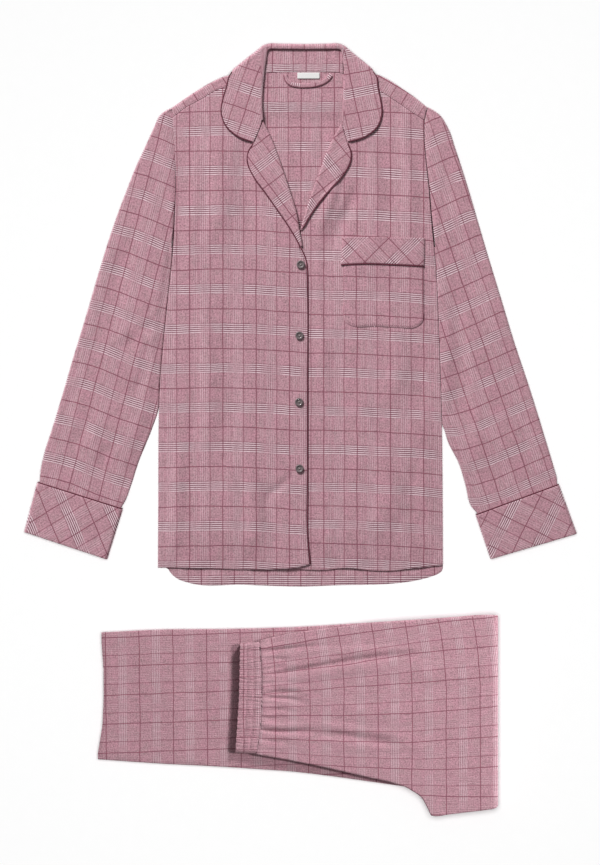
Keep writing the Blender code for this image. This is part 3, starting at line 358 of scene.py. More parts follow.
class PyjamaTrim(bpy.types.PropertyGroup):
    """Colours of the piping, buttons, thread and label."""

    piping: FloatVectorProperty(name="Piping", description="Satin cord", subtype="COLOR", default=(0.15, 0.012, 0.038))
    button: FloatVectorProperty(name="Button", description="Moulded grey", subtype="COLOR", default=(0.12, 0.092, 0.096))
    thread: FloatVectorProperty(name="Thread", description="Sewing thread", subtype="COLOR", default=(0.30, 0.13, 0.17))
    label: FloatVectorProperty(name="Label", description="Woven tape", subtype="COLOR", default=(0.86, 0.85, 0.84))
    stitch: FloatProperty(name="Stitch", description="Distance between stitches", unit="LENGTH", default=0.0028, min=0.001)


class PyjamaStage(bpy.types.PropertyGroup):
    """Floor, light and camera."""

    floor: FloatVectorProperty(name="Floor", description="Floor colour", subtype="COLOR", default=(0.9, 0.9, 0.9))
    key: FloatProperty(name="Key light", description="Strength of the soft boxes", default=266.0, min=0)
    fill: FloatProperty(name="Fill light", description="Strength of the even light", default=0.22, min=0)
    lens: FloatProperty(name="Lens", description="Focal length", default=150.0, min=20)
    tall: FloatProperty(name="Height in view", description="Height of the frame", unit="LENGTH", default=1.211, min=0.2)


# ---- curves and surfaces ----
def hermite(rows, chord, at):
    """Smooth curve through rows at the distances chord, read at the distances at: cubic pieces whose slope at each
    row is that of its neighbours."""
    slope = np.gradient(rows, chord, axis=0)
    k = np.clip(np.searchsorted(chord, at, side="right") - 1, 0, len(rows) - 2)
    step = (chord[k + 1] - chord[k])[:, None]
    t = (at - chord[k])[:, None] / step
    return (
        rows[k] * (2 * t**3 - 3 * t**2 + 1)
        + slope[k] * step * (t**3 - 2 * t**2 + t)
        + rows[k + 1] * (3 * t**2 - 2 * t**3)
        + slope[k + 1] * step * (t**3 - t**2)
    )


def through(rows, count):
    """Points on a smooth curve through the rows; count is a number, or the shares of its length that are wanted."""
    rows = np.asarray(rows, float)
    shares = np.linspace(0, 1, count) if np.isscalar(count) else np.asarray(count)
    if len(rows) == 2:
        return rows[0] + shares[:, None] * (rows[1] - rows[0])
    chord = np.r_[0, np.cumsum(np.linalg.norm(np.diff(rows, axis=0), axis=1))]
    return hermite(rows, chord, shares * chord[-1])


def refine(grid, step, ring=False):
    """The coarse grid (rows, columns, xyz) read as one smooth surface, with no interval longer than step.

    Along each direction in turn, every line is a hermite curve at shared distances, which are the lines' mean ones.
    """
    for axis in (0, 1):
        lines = np.moveaxis(grid, axis, 0)
        pad = 3 if ring and axis == 1 else 0
        if pad:
            lines = np.concatenate([lines[-pad:], lines, lines[: pad + 1]])
        gaps = np.linalg.norm(np.diff(lines, axis=0), axis=2)
        chord = np.r_[0, np.cumsum(gaps.mean(axis=1))]
        parts = np.maximum(1, np.ceil(gaps.max(axis=1) / step)).astype(int)
        spans = range(pad, len(parts) - pad)
        at = [np.linspace(chord[k], chord[k + 1], parts[k], endpoint=False) for k in spans]
        if not pad:
            at.append(chord[-1:])
        flat = hermite(lines.reshape(len(lines), -1), chord, np.concatenate(at))
        grid = np.moveaxis(flat.reshape(-1, *lines.shape[1:]), 0, axis)
    return grid


def ease(value, low, high):
    """0 below low, 1 above high, and a smooth rise between."""
    t = np.clip((np.asarray(value, float) - low) / (high - low), 0, 1)
    return t * t * (3 - 2 * t)


def mix(a, b, t):
    """From a to b as t goes from 0 to 1."""
    return a * (1 - t) + b * t


def unit(vectors):
    """The vectors at length 1."""
    return vectors / np.maximum(np.linalg.norm(vectors, axis=-1, keepdims=True), 1e-9)


def patch(low, high, left, right, u, v):
    """Coons patch: the sum of the two ruled surfaces between opposite edges, less the bilinear one of the corners."""
    u, v = u[None, :, None], v[:, None, None]
    across = mix(left[:, None], right[:, None], u)
    along = mix(low[None], high[None], v)
    corners = mix(mix(low[0], low[-1], u), mix(high[0], high[-1], u), v)
    return across + along - corners


def with_height(plan, height):
    """Plan points (rows, columns, xy) and their heights as x, y, z."""
    return np.concatenate([plan, np.broadcast_to(height, plan.shape[:-1])[..., None]], axis=-1)


def creases(plan, table):
    """Height of the creases: along each one a bump shaped (1 - d^2)^2 across, with a swell that fades at both ends."""
    x, y = plan[..., 0], plan[..., 1]
    z = np.zeros_like(x)
    for x0, y0, x1, y1, depth, half in table:
        run = np.array([x1 - x0, y1 - y0], float)
        length = math.hypot(*run)
        along = ((x - x0) * run[0] + (y - y0) * run[1]) / length**2
        off = ((x - x0) * run[1] - (y - y0) * run[0]) / length
        off = off + half * 0.35 * np.sin(along * 5.3 + x0)
        half_here = half * (0.8 + 0.5 * np.clip(along, 0, 1))
        across = np.clip(1 - (off / (1.6 * half_here)) ** 2, 0, 1) ** 2
        ends = ease(along, -0.18, 0.25) * (1 - ease(along, 0.7, 1.18))
        z += depth * across * ends
    return z


def slack(plan, size, seed=0.0):
    """The soft unevenness of laid cloth: a few crossed sine waves of unlike lengths, size mm high."""
    x, y = plan[..., 0] + seed * 37, plan[..., 1] - seed * 23
    waves = np.sin(x / 19 + 1.3 * np.sin(y / 47)) * np.sin(y / 61 + 0.8) + 0.6 * np.sin(x / 11.5 + y / 29 + seed)
    return size * (waves + 0.5 * np.sin(y / 13.7 - x / 33 + 2 * seed))


# ---- objects ----
SHIFT = np.array(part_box("neck_label")[0])[:2] - np.array([LABEL[0], LABEL[2]]) * MM  # the set's centring


def finished(name, mesh, replaces, look):
    """An object for the mesh that rides on the one body, in place of the CAD nodes it stands for."""
    made = bpy.data.objects.new("made_" + name, mesh)
    bpy.context.scene.collection.objects.link(made)
    mesh.materials.append(look)
    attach(made, "root")
    if replaces:
        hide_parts(*replaces)
    return made


def mesh_from(name, points, faces, uv=None):
    """A smooth mesh of the points, in mm, and faces; uv holds each face corner's place on the cloth, in mm."""
    place = np.asarray(points, float).reshape(-1, 3) * MM
    place[:, :2] += SHIFT
    mesh = bpy.data.meshes.new(name)
    mesh.from_pydata(place.tolist(), [], np.asarray(faces).tolist() if isinstance(faces, np.ndarray) else faces)
    if uv is not None:
        layer = mesh.uv_layers.new(name="weave")
        layer.data.foreach_set("uv", (np.asarray(uv, float).reshape(-1) * MM).astype(np.float32))
    mesh.shade_smooth()
    return mesh


def corners_of(index):
    """The four corner numbers of every quad between neighbouring rows and columns."""
    return np.stack([index[:-1, :-1], index[:-1, 1:], index[1:, 1:], index[1:, :-1]], axis=-1).reshape(-1, 4)


def cloth(name, grids, weaves, look, wall=CLOTH, ring=False, replaces=None, flaps=()):
    """Cloth round the middle surface in grids[0]; flaps are (first column, last column, grid, weave) that go on from
    its last row. A ring joins the last column to the first, and its weave has one column more.
    """
    grid, weave = grids, weaves
    rows, columns = grid.shape[:2]
    index = np.arange(rows * columns).reshape(rows, columns)
    if ring:
        index = np.c_[index, index[:, :1]]
    number = np.arange(weave.shape[0] * weave.shape[1]).reshape(weave.shape[:2])
    faces, corner_weave = [corners_of(index)], [weave.reshape(-1, 2)[corners_of(number)]]
    points, used = [grid.reshape(-1, 3)], rows * columns
    for first, last, more, more_weave in flaps:
        flap = np.arange(more.shape[0] * more.shape[1]).reshape(more.shape[:2]) + used
        faces.append(corners_of(np.r_[index[-1:, first : last + 1], flap]))
        both = np.concatenate([weave[-1:, first : last + 1], more_weave])
        corner_weave.append(both.reshape(-1, 2)[corners_of(np.arange(both.shape[0] * both.shape[1]).reshape(both.shape[:2]))])
        points.append(more.reshape(-1, 3))
        used += flap.size
    mesh = mesh_from(name, np.concatenate(points), np.concatenate(faces), np.concatenate(corner_weave))
    made = finished(name, mesh, replaces or [name], look)
    thick = made.modifiers.new("wall", "SOLIDIFY")
    thick.thickness = wall * MM
    thick.offset = 0
    rounded = made.modifiers.new("soft_edge", "BEVEL")
    rounded.width = 0.35 * wall * MM
    rounded.segments = 2
    rounded.limit_method = "ANGLE"
    rounded.angle_limit = math.radians(55)
    return made


def tube(name, path, radius, look, sides=12, closed=False, replaces=None):
    """A cord: circles square to the path at every point; their up side is +Z taken square to the run."""
    path = np.asarray(path, float)
    run = np.roll(path, -1, 0) - np.roll(path, 1, 0) if closed else np.gradient(path, axis=0)
    run = unit(run)
    side = unit(np.cross(run, (0, 0, 1.0)))
    up = np.cross(side, run)
    turn = np.linspace(0, 2 * math.pi, sides, endpoint=False)
    rings = path[:, None] + radius * (np.cos(turn)[:, None] * side[:, None] + np.sin(turn)[:, None] * up[:, None])
    index = np.arange(rings[..., 0].size).reshape(rings.shape[:2])
    index = np.c_[index, index[:, :1]]
    if closed:
        index = np.r_[index, index[:1]]
    faces = corners_of(index)[:, ::-1].tolist()
    if not closed:
        faces += [index[0, :-1].tolist(), index[-1, :-1][::-1].tolist()]
    length = np.r_[0, np.cumsum(np.linalg.norm(np.diff(np.r_[path, path[:1]] if closed else path, axis=0), axis=1))]
    around = np.linspace(0, 2 * math.pi * radius, sides + 1)
    weave = np.stack(np.broadcast_arrays(around[None], length[:, None]), axis=-1)
    loops = weave.reshape(-1, 2)[corners_of(np.arange(weave[..., 0].size).reshape(weave.shape[:2]))][:, ::-1].reshape(-1, 2)
    if not closed:
        loops = np.r_[loops, np.zeros((2 * sides, 2))]
    return finished(name, mesh_from(name, rings, faces, loops), replaces or [name], look)


def along(line, pitch):
    """Points every pitch mm on a line, and the line's run there."""
    line = np.asarray(line, float)
    chord = np.r_[0, np.cumsum(np.linalg.norm(np.diff(line, axis=0), axis=1))]
    at = np.arange(pitch / 2, chord[-1], pitch)
    points = np.stack([np.interp(at, chord, line[:, k]) for k in range(3)], axis=1)
    run = np.stack([np.interp(at, chord, np.gradient(line[:, k], chord)) for k in range(3)], axis=1)
    return points, unit(run)


def sewing(name, lines, pitch, look, width=0.55, height=0.3, share=0.72):
    """Stitches as one mesh: each is a six-cornered lozenge along its line, share of the pitch long."""
    found = [along(line, pitch) for line in lines]
    points, run = (np.concatenate([pair[k] for pair in found]) for k in (0, 1))
    side = unit(np.cross(run, (0, 0, 1.0)))
    ends = run * pitch * share / 2
    up = np.array((0, 0, height))
    corners = [points - ends, points + ends, points - side * width / 2, points + side * width / 2, points - up, points + up]
    stitch = np.array([(0, 2, 5), (2, 1, 5), (1, 3, 5), (3, 0, 5), (2, 0, 4), (1, 2, 4), (3, 1, 4), (0, 3, 4)])
    faces = stitch[None] + 6 * np.arange(len(points))[:, None, None]
    mesh = mesh_from(name, np.stack(corners, axis=1), faces.reshape(-1, 3)[:, ::-1])
    made = finished(name, mesh, None, look)
    return made


def weave_at(plan, x0, y0, turn=0.0, skew=0.0):
    """Place on the cloth of plan points: u to the right and v down from (x0, y0), after turning by turn degrees;
    skew turns u by that much more."""
    dx, dy = plan[..., 0] - x0, plan[..., 1] - y0
    wide, down = math.radians(turn + skew), math.radians(turn)
    u = dx * math.cos(wide) + dy * math.sin(wide)
    return np.stack([u, dx * math.sin(down) - dy * math.cos(down)], axis=-1)


def shares_of(length, step):
    """Even shares of a length, at most step apart."""
    return np.linspace(0, 1, int(math.ceil(length / step)) + 1)


# ---- materials ----
class Nodes:
    """Adds shader nodes to one material and links them."""

    def __init__(self, name):
        self.material = bpy.data.materials.new(name)
        self.material.use_nodes = True
        self.tree = self.material.node_tree
        self.shader = self.tree.nodes["Principled BSDF"]

    def add(self, kind, inputs=(), **settings):
        """A node with its settings; inputs are (socket, value or output) pairs."""
        node = self.tree.nodes.new(kind)
        for key, value in settings.items():
            setattr(node, key, value)
        for socket, value in inputs:
            if isinstance(value, bpy.types.NodeSocket):
                self.tree.links.new(value, node.inputs[socket])
            else:
                node.inputs[socket].default_value = value
        return node

    def math(self, operation, *values, clamp=False):
        """Output of a Math node."""
        return self.add("ShaderNodeMath", list(enumerate(values)), operation=operation, use_clamp=clamp).outputs[0]

    def blend(self, factor, a, b, kind="MIX"):
        """Colour a with b laid over it by the factor."""
        pairs = [(0, factor), (6, a), (7, b)]
        return self.add("ShaderNodeMix", pairs, data_type="RGBA", blend_type=kind).outputs[2]

    def noise(self, vector, scale, detail=2.0, rough=0.5):
        """A noise value round 0.5."""
        pairs = [("Vector", vector), ("Scale", scale), ("Detail", detail), ("Roughness", rough)]
        return self.add("ShaderNodeTexNoise", pairs).outputs["Fac"]

    def stretched(self, vector, x, y, z=1.0):
        """The vector times x, y and z."""
        pairs = [(0, vector), (1, (x, y, z))]
        return self.add("ShaderNodeVectorMath", pairs, operation="MULTIPLY").outputs[0]

    def ramp(self, value, stops):
        """A ramp through (place, value) stops."""
        node = self.add("ShaderNodeValToRGB", [("Fac", value)])
        elements = node.color_ramp.elements
        stops = sorted(stops)
        elements[0].position, elements[1].position = stops[0][0], stops[-1][0]
        for place, _ in stops[1:-1]:
            elements.new(place)
        for element, (_, level) in zip(elements, stops):
            element.color = (level, level, level, 1)
        return node.outputs["Color"]

    def finish(self, colour, rough, height=None, depth=0.0, **fixed):
        """Joins colour, roughness and a bump to the shader; fixed values are set on its own sockets."""
        for socket, value in (("Base Color", colour), ("Roughness", rough)):
            if isinstance(value, bpy.types.NodeSocket):
                self.tree.links.new(value, self.shader.inputs[socket])
            else:
                self.shader.inputs[socket].default_value = value
        if height is not None:
            bump = self.add("ShaderNodeBump", [("Height", height), ("Distance", depth), ("Strength", 1.0)])
            self.tree.links.new(bump.outputs[0], self.shader.inputs["Normal"])
        for socket, value in fixed.items():
            self.shader.inputs[socket.replace("_", " ")].default_value = value
        return self.material


def stops_for(lines, repeat, share=1.0):
    """Ramp stops for (middle, width, level) lines on a repeat: each rises and falls over half its width."""
    stops = [(0.0, 0.0), (1.0, 0.0)]
    for middle, width, level in lines:
        for offset, value in ((-0.75, 0), (-0.25, level), (0.25, level), (0.75, 0)):
            place = (LEAD + middle + offset * width) / repeat
            if 0 < place < 1:
                stops.append((place, value * share))
    return stops


def opaque(colour):
    """A colour setting with alpha 1."""
    return (*colour, 1.0)


def flannel(name, strength):
    """Brushed flannel with a glen check, read from the cloth's own place.

    Burgundy and white are ramps over the repeats of u and v. The white groups are strongest between the warp's
    own lines; thread noise is stretched along warp and weft, and broad noise turns rose into grey heather.
    """
    s = bpy.context.scene.pyjama_cloth
    n = Nodes(name)
    uv = n.add("ShaderNodeUVMap", uv_map="weave").outputs[0]
    place = uv
    for scale, size in ((18.0, 0.003), (240.0, 0.0009)):
        drift = n.add("ShaderNodeTexNoise", [("Vector", uv), ("Scale", scale), ("Detail", 2.0)]).outputs["Color"]
        drift = n.add("ShaderNodeVectorMath", [(0, drift), (1, (0.5, 0.5, 0.5))], operation="SUBTRACT").outputs[0]
        drift = n.stretched(drift, size, size, 0)
        place = n.add("ShaderNodeVectorMath", [(0, place), (1, drift)], operation="ADD").outputs[0]
    split = n.add("ShaderNodeSeparateXYZ", [(0, place)])
    u, v = (
        n.math("FRACT", n.math("DIVIDE", n.math("ADD", split.outputs[k], (LEAD + 40 * repeat) * MM), repeat * MM))
        for k, repeat in enumerate((REPEAT_U, REPEAT_V))
    )
    u_main, u_side = n.ramp(u, stops_for(WARP_MAIN, REPEAT_U)), n.ramp(u, stops_for(WARP_SIDE, REPEAT_U))
    u_white, v_main = n.ramp(u, stops_for(WARP_WHITE, REPEAT_U, strength)), n.ramp(v, stops_for(WEFT_MAIN, REPEAT_V))
    v_side = n.ramp(v, stops_for(WEFT_SIDE, REPEAT_V, 0.4 + 0.6 * strength))
    v_white = n.ramp(v, stops_for(WEFT_WHITE, REPEAT_V))
    beat = n.ramp(n.noise(n.stretched(place, 42, 20), 1.0, 1.0), [(0.36, 0.35 * strength), (0.56, strength)])
    warp_thread = n.noise(n.stretched(place, 640, 55), 1.0, 2.0, 0.6)
    weft_thread = n.noise(n.stretched(place, 60, 560), 1.0, 2.0, 0.6)
    broad = n.noise(n.stretched(place, 60, 48), 1.0, 4.0, 0.7)
    speck = n.noise(n.stretched(place, 520, 430), 1.0, 2.0, 0.6)
    ground = n.blend(n.ramp(broad, [(0.34, 0.0), (0.66, 1.0)]), opaque(s.rose), opaque(s.grey))
    threads = n.math("ADD", n.math("MULTIPLY", warp_thread, 0.26), n.math("MULTIPLY", weft_thread, 0.18))
    threads = n.math("ADD", threads, n.math("MULTIPLY", speck, 0.56))
    ground = n.blend(1.0, ground, n.ramp(threads, [(0.38, 0.62), (0.5, 0.96), (0.62, 1.28)]), "MULTIPLY")
    white = n.math("MAXIMUM", n.math("MULTIPLY", v_white, beat), n.math("MULTIPLY", u_white, warp_thread), clamp=True)
    side = n.math("MULTIPLY", v_side, beat)
    dark = n.math("MAXIMUM", n.math("MAXIMUM", u_main, v_main), u_side)
    dark = n.math("MULTIPLY", dark, n.math("ADD", 0.62, n.math("MULTIPLY", speck, 0.75)), clamp=True)
    ink = n.blend(n.ramp(broad, [(0.5, 0.0), (0.7, 1.0)]), opaque(s.dark), opaque(s.red))
    colour = n.blend(white, ground, opaque(s.white))
    colour = n.blend(side, colour, opaque(s.plum))
    colour = n.blend(dark, colour, ink)
    height = n.math("ADD", n.math("MULTIPLY", speck, 0.6), threads)
    return n.finish(colour, 0.92, height, 0.00035, Sheen_Weight=s.nap, Sheen_Roughness=0.45, Specular_IOR_Level=0.2)


def satin():
    """Satin-covered cord: fine slanting ribs read from the cord's own place."""
    trim = bpy.context.scene.pyjama_trim
    n = Nodes("piping_satin")
    uv = n.add("ShaderNodeUVMap", uv_map="weave").outputs[0]
    rib = n.add(
        "ShaderNodeTexWave", [("Vector", uv), ("Scale", 420.0), ("Distortion", 1.5), ("Detail", 2.0)],
        bands_direction="DIAGONAL",
    ).outputs["Fac"]
    worn = n.noise(uv, 160.0, 3.0)
    colour = n.blend(n.ramp(worn, [(0.35, 0.0), (0.75, 0.5)]), opaque(trim.piping), (0.15, 0.035, 0.06, 1))
    colour = n.blend(n.ramp(rib, [(0.2, 0.0), (0.9, 0.25)]), colour, (0.02, 0.004, 0.008, 1))
    return n.finish(colour, 0.55, rib, 0.00012, Sheen_Weight=0.15, Specular_IOR_Level=0.35)


def moulded():
    """Moulded button: mottled grey with a soft gloss."""
    trim = bpy.context.scene.pyjama_trim
    n = Nodes("button_moulded")
    where = n.add("ShaderNodeTexCoord").outputs["Object"]
    cloud = n.noise(where, 420.0, 4.0, 0.6)
    colour = n.blend(n.ramp(cloud, [(0.35, 0.0), (0.7, 1.0)]), opaque(trim.button), (0.21, 0.17, 0.175, 1))
    rough = n.math("ADD", 0.24, n.math("MULTIPLY", cloud, 0.25))
    return n.finish(colour, rough, cloud, 0.00006, Coat_Weight=0.25)


def thread(name, colour):
    """Sewing thread with a fine twist."""
    n = Nodes(name)
    where = n.add("ShaderNodeTexCoord").outputs["Object"]
    twist = n.noise(where, 2600.0, 2.0)
    shade = n.blend(n.ramp(twist, [(0.3, 0.0), (0.7, 1.0)]), opaque(colour), opaque([c * 1.45 for c in colour]))
    return n.finish(shade, 0.6, twist, 0.0001, Sheen_Weight=0.1)


def tape():
    """Woven label tape, blank: fine ribs across a white ground."""
    trim = bpy.context.scene.pyjama_trim
    n = Nodes("label_tape")
    uv = n.add("ShaderNodeUVMap", uv_map="weave").outputs[0]
    rib = n.noise(n.stretched(uv, 900, 3200), 1.0, 2.0)
    edge = n.noise(uv, 260.0, 2.0)
    colour = n.blend(n.ramp(rib, [(0.3, 0.0), (0.7, 0.6)]), opaque(trim.label), (0.70, 0.68, 0.68, 1))
    colour = n.blend(n.ramp(edge, [(0.5, 0.0), (0.8, 0.3)]), colour, (0.78, 0.73, 0.74, 1))
    return n.finish(colour, 0.75, rib, 0.00012)


def look(name, maker, *values):
    """The material of that name, made once."""
    return bpy.data.materials.get(name) or maker(*values)


def flannel_look():
    """The shirt's flannel."""
    return look("flannel_check", flannel, "flannel_check", 1.0)


def trouser_look():
    """The trousers' flannel: the same check with fainter white groups."""
    return look("trouser_check", flannel, "trouser_check", 0.5)


def step_mm(times=1.0):
    """Grid spacing in mm."""
    return bpy.context.scene.pyjama_cloth.step / MM * times


# ---- the shirt's panels ----
def side_x(side, y):
    """Distance of the side edge from x = 0 at height y; side is -1 for the wearer's right and 1 for the left."""
    curve = through(SIDE_RIGHT if side < 0 else SIDE_LEFT, 200)
    return np.interp(y, curve[:, 1], np.abs(curve[:, 0]))


def front_height(side, plan):
    """Middle height of a front: low at side seam and hem, level with the sleeve, high at the neck, with its creases."""
    x, y = plan[..., 0] * side, plan[..., 1]
    inside = side_x(side, y) - x
    armhole = ease(y, 212, 260)
    chest = Z_CHEST + 0.25 * np.sin(x / 31) * np.sin(y / 67)
    beside_sleeve = 1.2 * ease(y, -60, 30) * (1 - armhole)
    z = mix(mix(Z_SIDE + beside_sleeve, Z_SLEEVE, armhole), chest, ease(inside, 0, 34))
    z = mix(z, Z_SHOULDER, ease(y, 395, 455) * ease(inside, 20, 70))
    placket, rises = (Z_OVERLAP, (232, 300)) if side < 0 else (Z_UNDERLAP, (268, 345))
    z = mix(z, placket, (1 - ease(x, 16, 58)) * (1 - ease(y, *rises)))
    wave = 0.9 * ease(np.cos((x - (150 if side < 0 else 72)) / 15), 0.1, 1) * ease(inside, 6, 34) * ease(x, 12, 40)
    hem = np.maximum(mix(placket, Z_SIDE, ease(x, 16, 50)), Z_SIDE) if side < 0 else Z_SIDE
    z = mix(hem + wave, z, ease(y, -197, -140))
    free = ease(inside, 4, 26) * (ease(x, 14, 40) if side > 0 else ease(x, -20, 20)) * ease(y, -200, -150)
    return z + free * (creases(plan, FRONT_CREASES) + slack(plan, 0.16))


def back_height(plan):
    """Middle height of the back, with the creases seen inside the neck and along the hem."""
    x, y = plan[..., 0], plan[..., 1]
    z = mix(REST, Z_BACK_NECK, ease(y, 428, 454) * (1 - ease(np.abs(x - 4), 106, 140)))
    relief = creases(plan, BACK_CREASES)
    inside = ease(y, 285, 300) * (1 - ease(np.abs(x), 40, 60))
    hem = 1 - ease(y, -214, -196)
    lifted = 1.1 * inside * (1 - ease(y, 400, 450))
    return z + lifted + np.where(y > 0, relief * inside * (1 - ease(y, 452, 480)), np.maximum(relief, 0) * hem)


def front_plan(side, columns, rows):
    """Plan of a front: a patch between hem, side, shoulder seam and the line up the centre edge and the neck."""
    sides, centre = (SIDE_RIGHT, CENTRE_RIGHT + NECK_RIGHT) if side < 0 else (SIDE_LEFT, CENTRE_LEFT + NECK_LEFT)
    hem, seam = (HEM_RIGHT, SEAM_RIGHT) if side < 0 else (HEM_LEFT, SEAM_LEFT)
    low, high = through(hem, columns), through(seam, columns)
    return patch(low, high, through(sides[:-1], rows), through(centre, rows), columns, rows)


def between(value, table):
    """Second column of a table at the values, read between its rows."""
    table = np.asarray(table, float)
    return np.interp(value, table[:, 0], table[:, 1])


def numbered(y, rows, repeat):
    """Number of repeats down from rows[0], read between the rows and going on evenly beyond them."""
    rows = np.asarray(rows, float)
    number = np.interp(-y, -rows, np.arange(len(rows)))
    return number - np.maximum(y - rows[0], 0) / repeat + np.maximum(rows[-1] - y, 0) / repeat


def front_weave(side, plan):
    """Check on one front: upright warp lines, and weft lines that droop as the cloth was laid."""
    x, y = plan[..., 0], plan[..., 1]
    if side < 0:
        return np.stack([x + 61.6, 168.5 - between(x, DROP_RIGHT) - y], axis=-1)
    return np.stack([x - 79.5, numbered(y + between(x, DROP_LEFT), ROWS_LEFT, REPEAT_V) * REPEAT_V], axis=-1)


def sleeve_weave(side, plan):
    """Check on a sleeve: its warp follows the leaning line through (x0, y0), and its weft lines bend across it."""
    x0, y0, lean, wide, drop, rows = SLEEVE_CHECK_RIGHT if side < 0 else SLEEVE_CHECK_LEFT
    off = plan[..., 0] - x0 - lean * (plan[..., 1] - y0)
    v = numbered(plan[..., 1] + between(off, drop), rows, 52.0) * REPEAT_V
    return np.stack([off * wide, v], axis=-1)


SHOULDER_COLUMNS = np.array([0, 0.16, 0.28, 0.42, 0.56, 0.7, 0.82, 0.92, 1])


def shoulder_flap(side, axis, outward, radius):
    """Rows of the back that turn over a shoulder and lie on the front side, down to the forward seam."""
    seam = through(SEAM_RIGHT if side < 0 else SEAM_LEFT, np.linspace(0, 1, len(axis))) + (0, SEAM + 0.1)
    if side > 0:
        seam = seam[::-1]
    z_low = back_height(axis)
    z_high = mix(Z_SLEEVE, Z_SHOULDER, ease(np.abs(axis[:, 0]), 165, 105))
    rows = []
    for turn in np.radians([-60, -30, 0, 30, 60, 90]):
        plan = axis + outward * radius[:, None] * math.cos(turn)
        rows.append(with_height(plan, (z_low + z_high) / 2 + radius * math.sin(turn)))
    for share in np.linspace(0, 1, 8)[1:]:
        rows.append(with_height(mix(axis, seam, share), z_high))
    return np.stack(rows)


def make_back():
    """The back panel, with both shoulders turned over to the front."""
    shoulder = np.linspace(0, 1, 30)
    right, left = through(FOLD_RIGHT, shoulder), through(FOLD_LEFT, shoulder)[::-1]
    neck = through(NECK_BACK, 34)
    axes, flaps = [], []
    for side, fold in ((-1, right), (1, left)):
        run = unit(np.gradient(fold, axis=0))
        outward = np.stack([-run[:, 1], run[:, 0]], axis=1)
        z_high = mix(Z_SLEEVE, Z_SHOULDER, ease(np.abs(fold[:, 0]), 165, 105))
        radius = (z_high - back_height(fold)) / 2
        axis = fold - outward * (radius + CLOTH / 2)[:, None]
        axes.append(axis)
        flaps.append(shoulder_flap(side, axis, outward, radius))
    top = np.r_[axes[0], neck[1:-1], axes[1]]
    last, wide = len(top) - 1, len(shoulder) - 1
    length = np.r_[0, np.cumsum(np.linalg.norm(np.diff(top, axis=0), axis=1))]
    u = length / length[-1]
    rows = shares_of(720, step_mm(1.25))
    sides = [through(edge, rows) for edge in (SIDE_RIGHT, SIDE_LEFT)]
    for side, edge in zip((-1, 1), sides):
        under = ease(edge[:, 1], LEAVES_BODY[side], LEAVES_BODY[side] + 20) * (1 - ease(edge[:, 1], 422, 438))
        edge[:, 0] += side * UNDER_GROOVE * under
    sides[0][-1], sides[1][-1] = top[0], top[-1]
    plan = patch(through(HEM_BACK, u), top, *sides, u, rows)
    weave = weave_at(plan, 1.05, 478.0)
    going_on = []
    for (first, end), flap, side in zip(((0, wide), (last - wide, last)), flaps, (-1, 1)):
        turn, place = (31, (-150, 470)) if side < 0 else (-31, (150, 470))
        going_on.append((first, end, flap, weave_at(flap[..., :2], *place, turn)))
    made = cloth("back", with_height(plan, back_height(plan)), weave, flannel_look(), flaps=going_on)


def make_fronts():
    """Both fronts; the right one laps over the left."""
    for side, name in ((-1, "front_right"), (1, "front_left")):
        plan = front_plan(side, shares_of(212, step_mm()), shares_of(690, step_mm()))
        made = cloth(name, with_height(plan, front_height(side, plan)), front_weave(side, plan), flannel_look())


# ---- sleeves and cuffs ----
def square_to(edge, towards):
    """Unit plan vectors square to an edge, on the side of the points in towards."""
    if len(edge) < 2:
        return unit(towards - edge)
    run = unit(np.gradient(edge, axis=0))
    square = np.stack([-run[:, 1], run[:, 0]], axis=1)
    return square * np.sign(np.sum(square * (towards - edge), axis=1, keepdims=True))


def flattened(outer, inner, low, high, shares, wall, bow=0, around=ROUND_STEPS):
    """Rings of a flattened tube: the upper wall from the outer edge to the inner one, a round, and back below."""
    low, high = (np.broadcast_to(value, len(outer))[:, None] for value in (low, high))
    radius = (high - low) / 2
    from_outer, from_inner = square_to(outer, inner), square_to(inner, outer)
    a = outer + from_outer * (radius + wall / 2)
    b = inner + from_inner * (radius + wall / 2)
    plan = mix(a[:, None], b[:, None], np.asarray(shares)[None, :, None]) + bow
    rings = [with_height(plan, high)]
    steps = np.linspace(90, -90, around + 2)[1:-1]
    for edge, way, angles in ((b, -from_inner, steps), (a, -from_outer, -steps)):
        turn = np.radians(angles)
        points = edge[:, None] + way[:, None] * (radius * np.cos(turn))[..., None]
        rings.append(with_height(points, (high + low) / 2 + radius * np.sin(turn)))
    rings.insert(2, with_height(plan[:, ::-1], low))
    return np.concatenate(rings, axis=1)


def armhole(side, shares):
    """Plan points of the sleeve's side of the armhole seam, from the shoulder down to the underarm."""
    y = mix(447.2 if side < 0 else 448.2, 255, np.asarray(shares))
    curve = through(SIDE_RIGHT if side < 0 else SIDE_LEFT, 200)
    beyond = curve[-1] + (curve[-1] - curve[-8]) * 0.4
    curve = np.r_[curve, beyond[None]]
    x = np.interp(y, curve[:, 1], curve[:, 0])
    gap = mix(GROOVE, ARMHOLE_GAP[side], ease(y, 256, 284))
    return np.stack([x + side * gap, y], axis=1)


def ring_weave(weave, count):
    """Check on a flattened tube: read from the plan on the upper wall, and carried on round the edge below it.

    The first count columns are the upper wall. Below, u goes on by the same distances as above.
    """
    back = weave.copy()
    edge = weave[:, count - 1 : count]
    back[:, count:, 0] = 2 * edge[..., 0] - weave[:, count:, 0] + 6
    return np.concatenate([back, back[:, :1] * 1.0 + (back[:, -1:] - back[:, -2:-1])], axis=1)


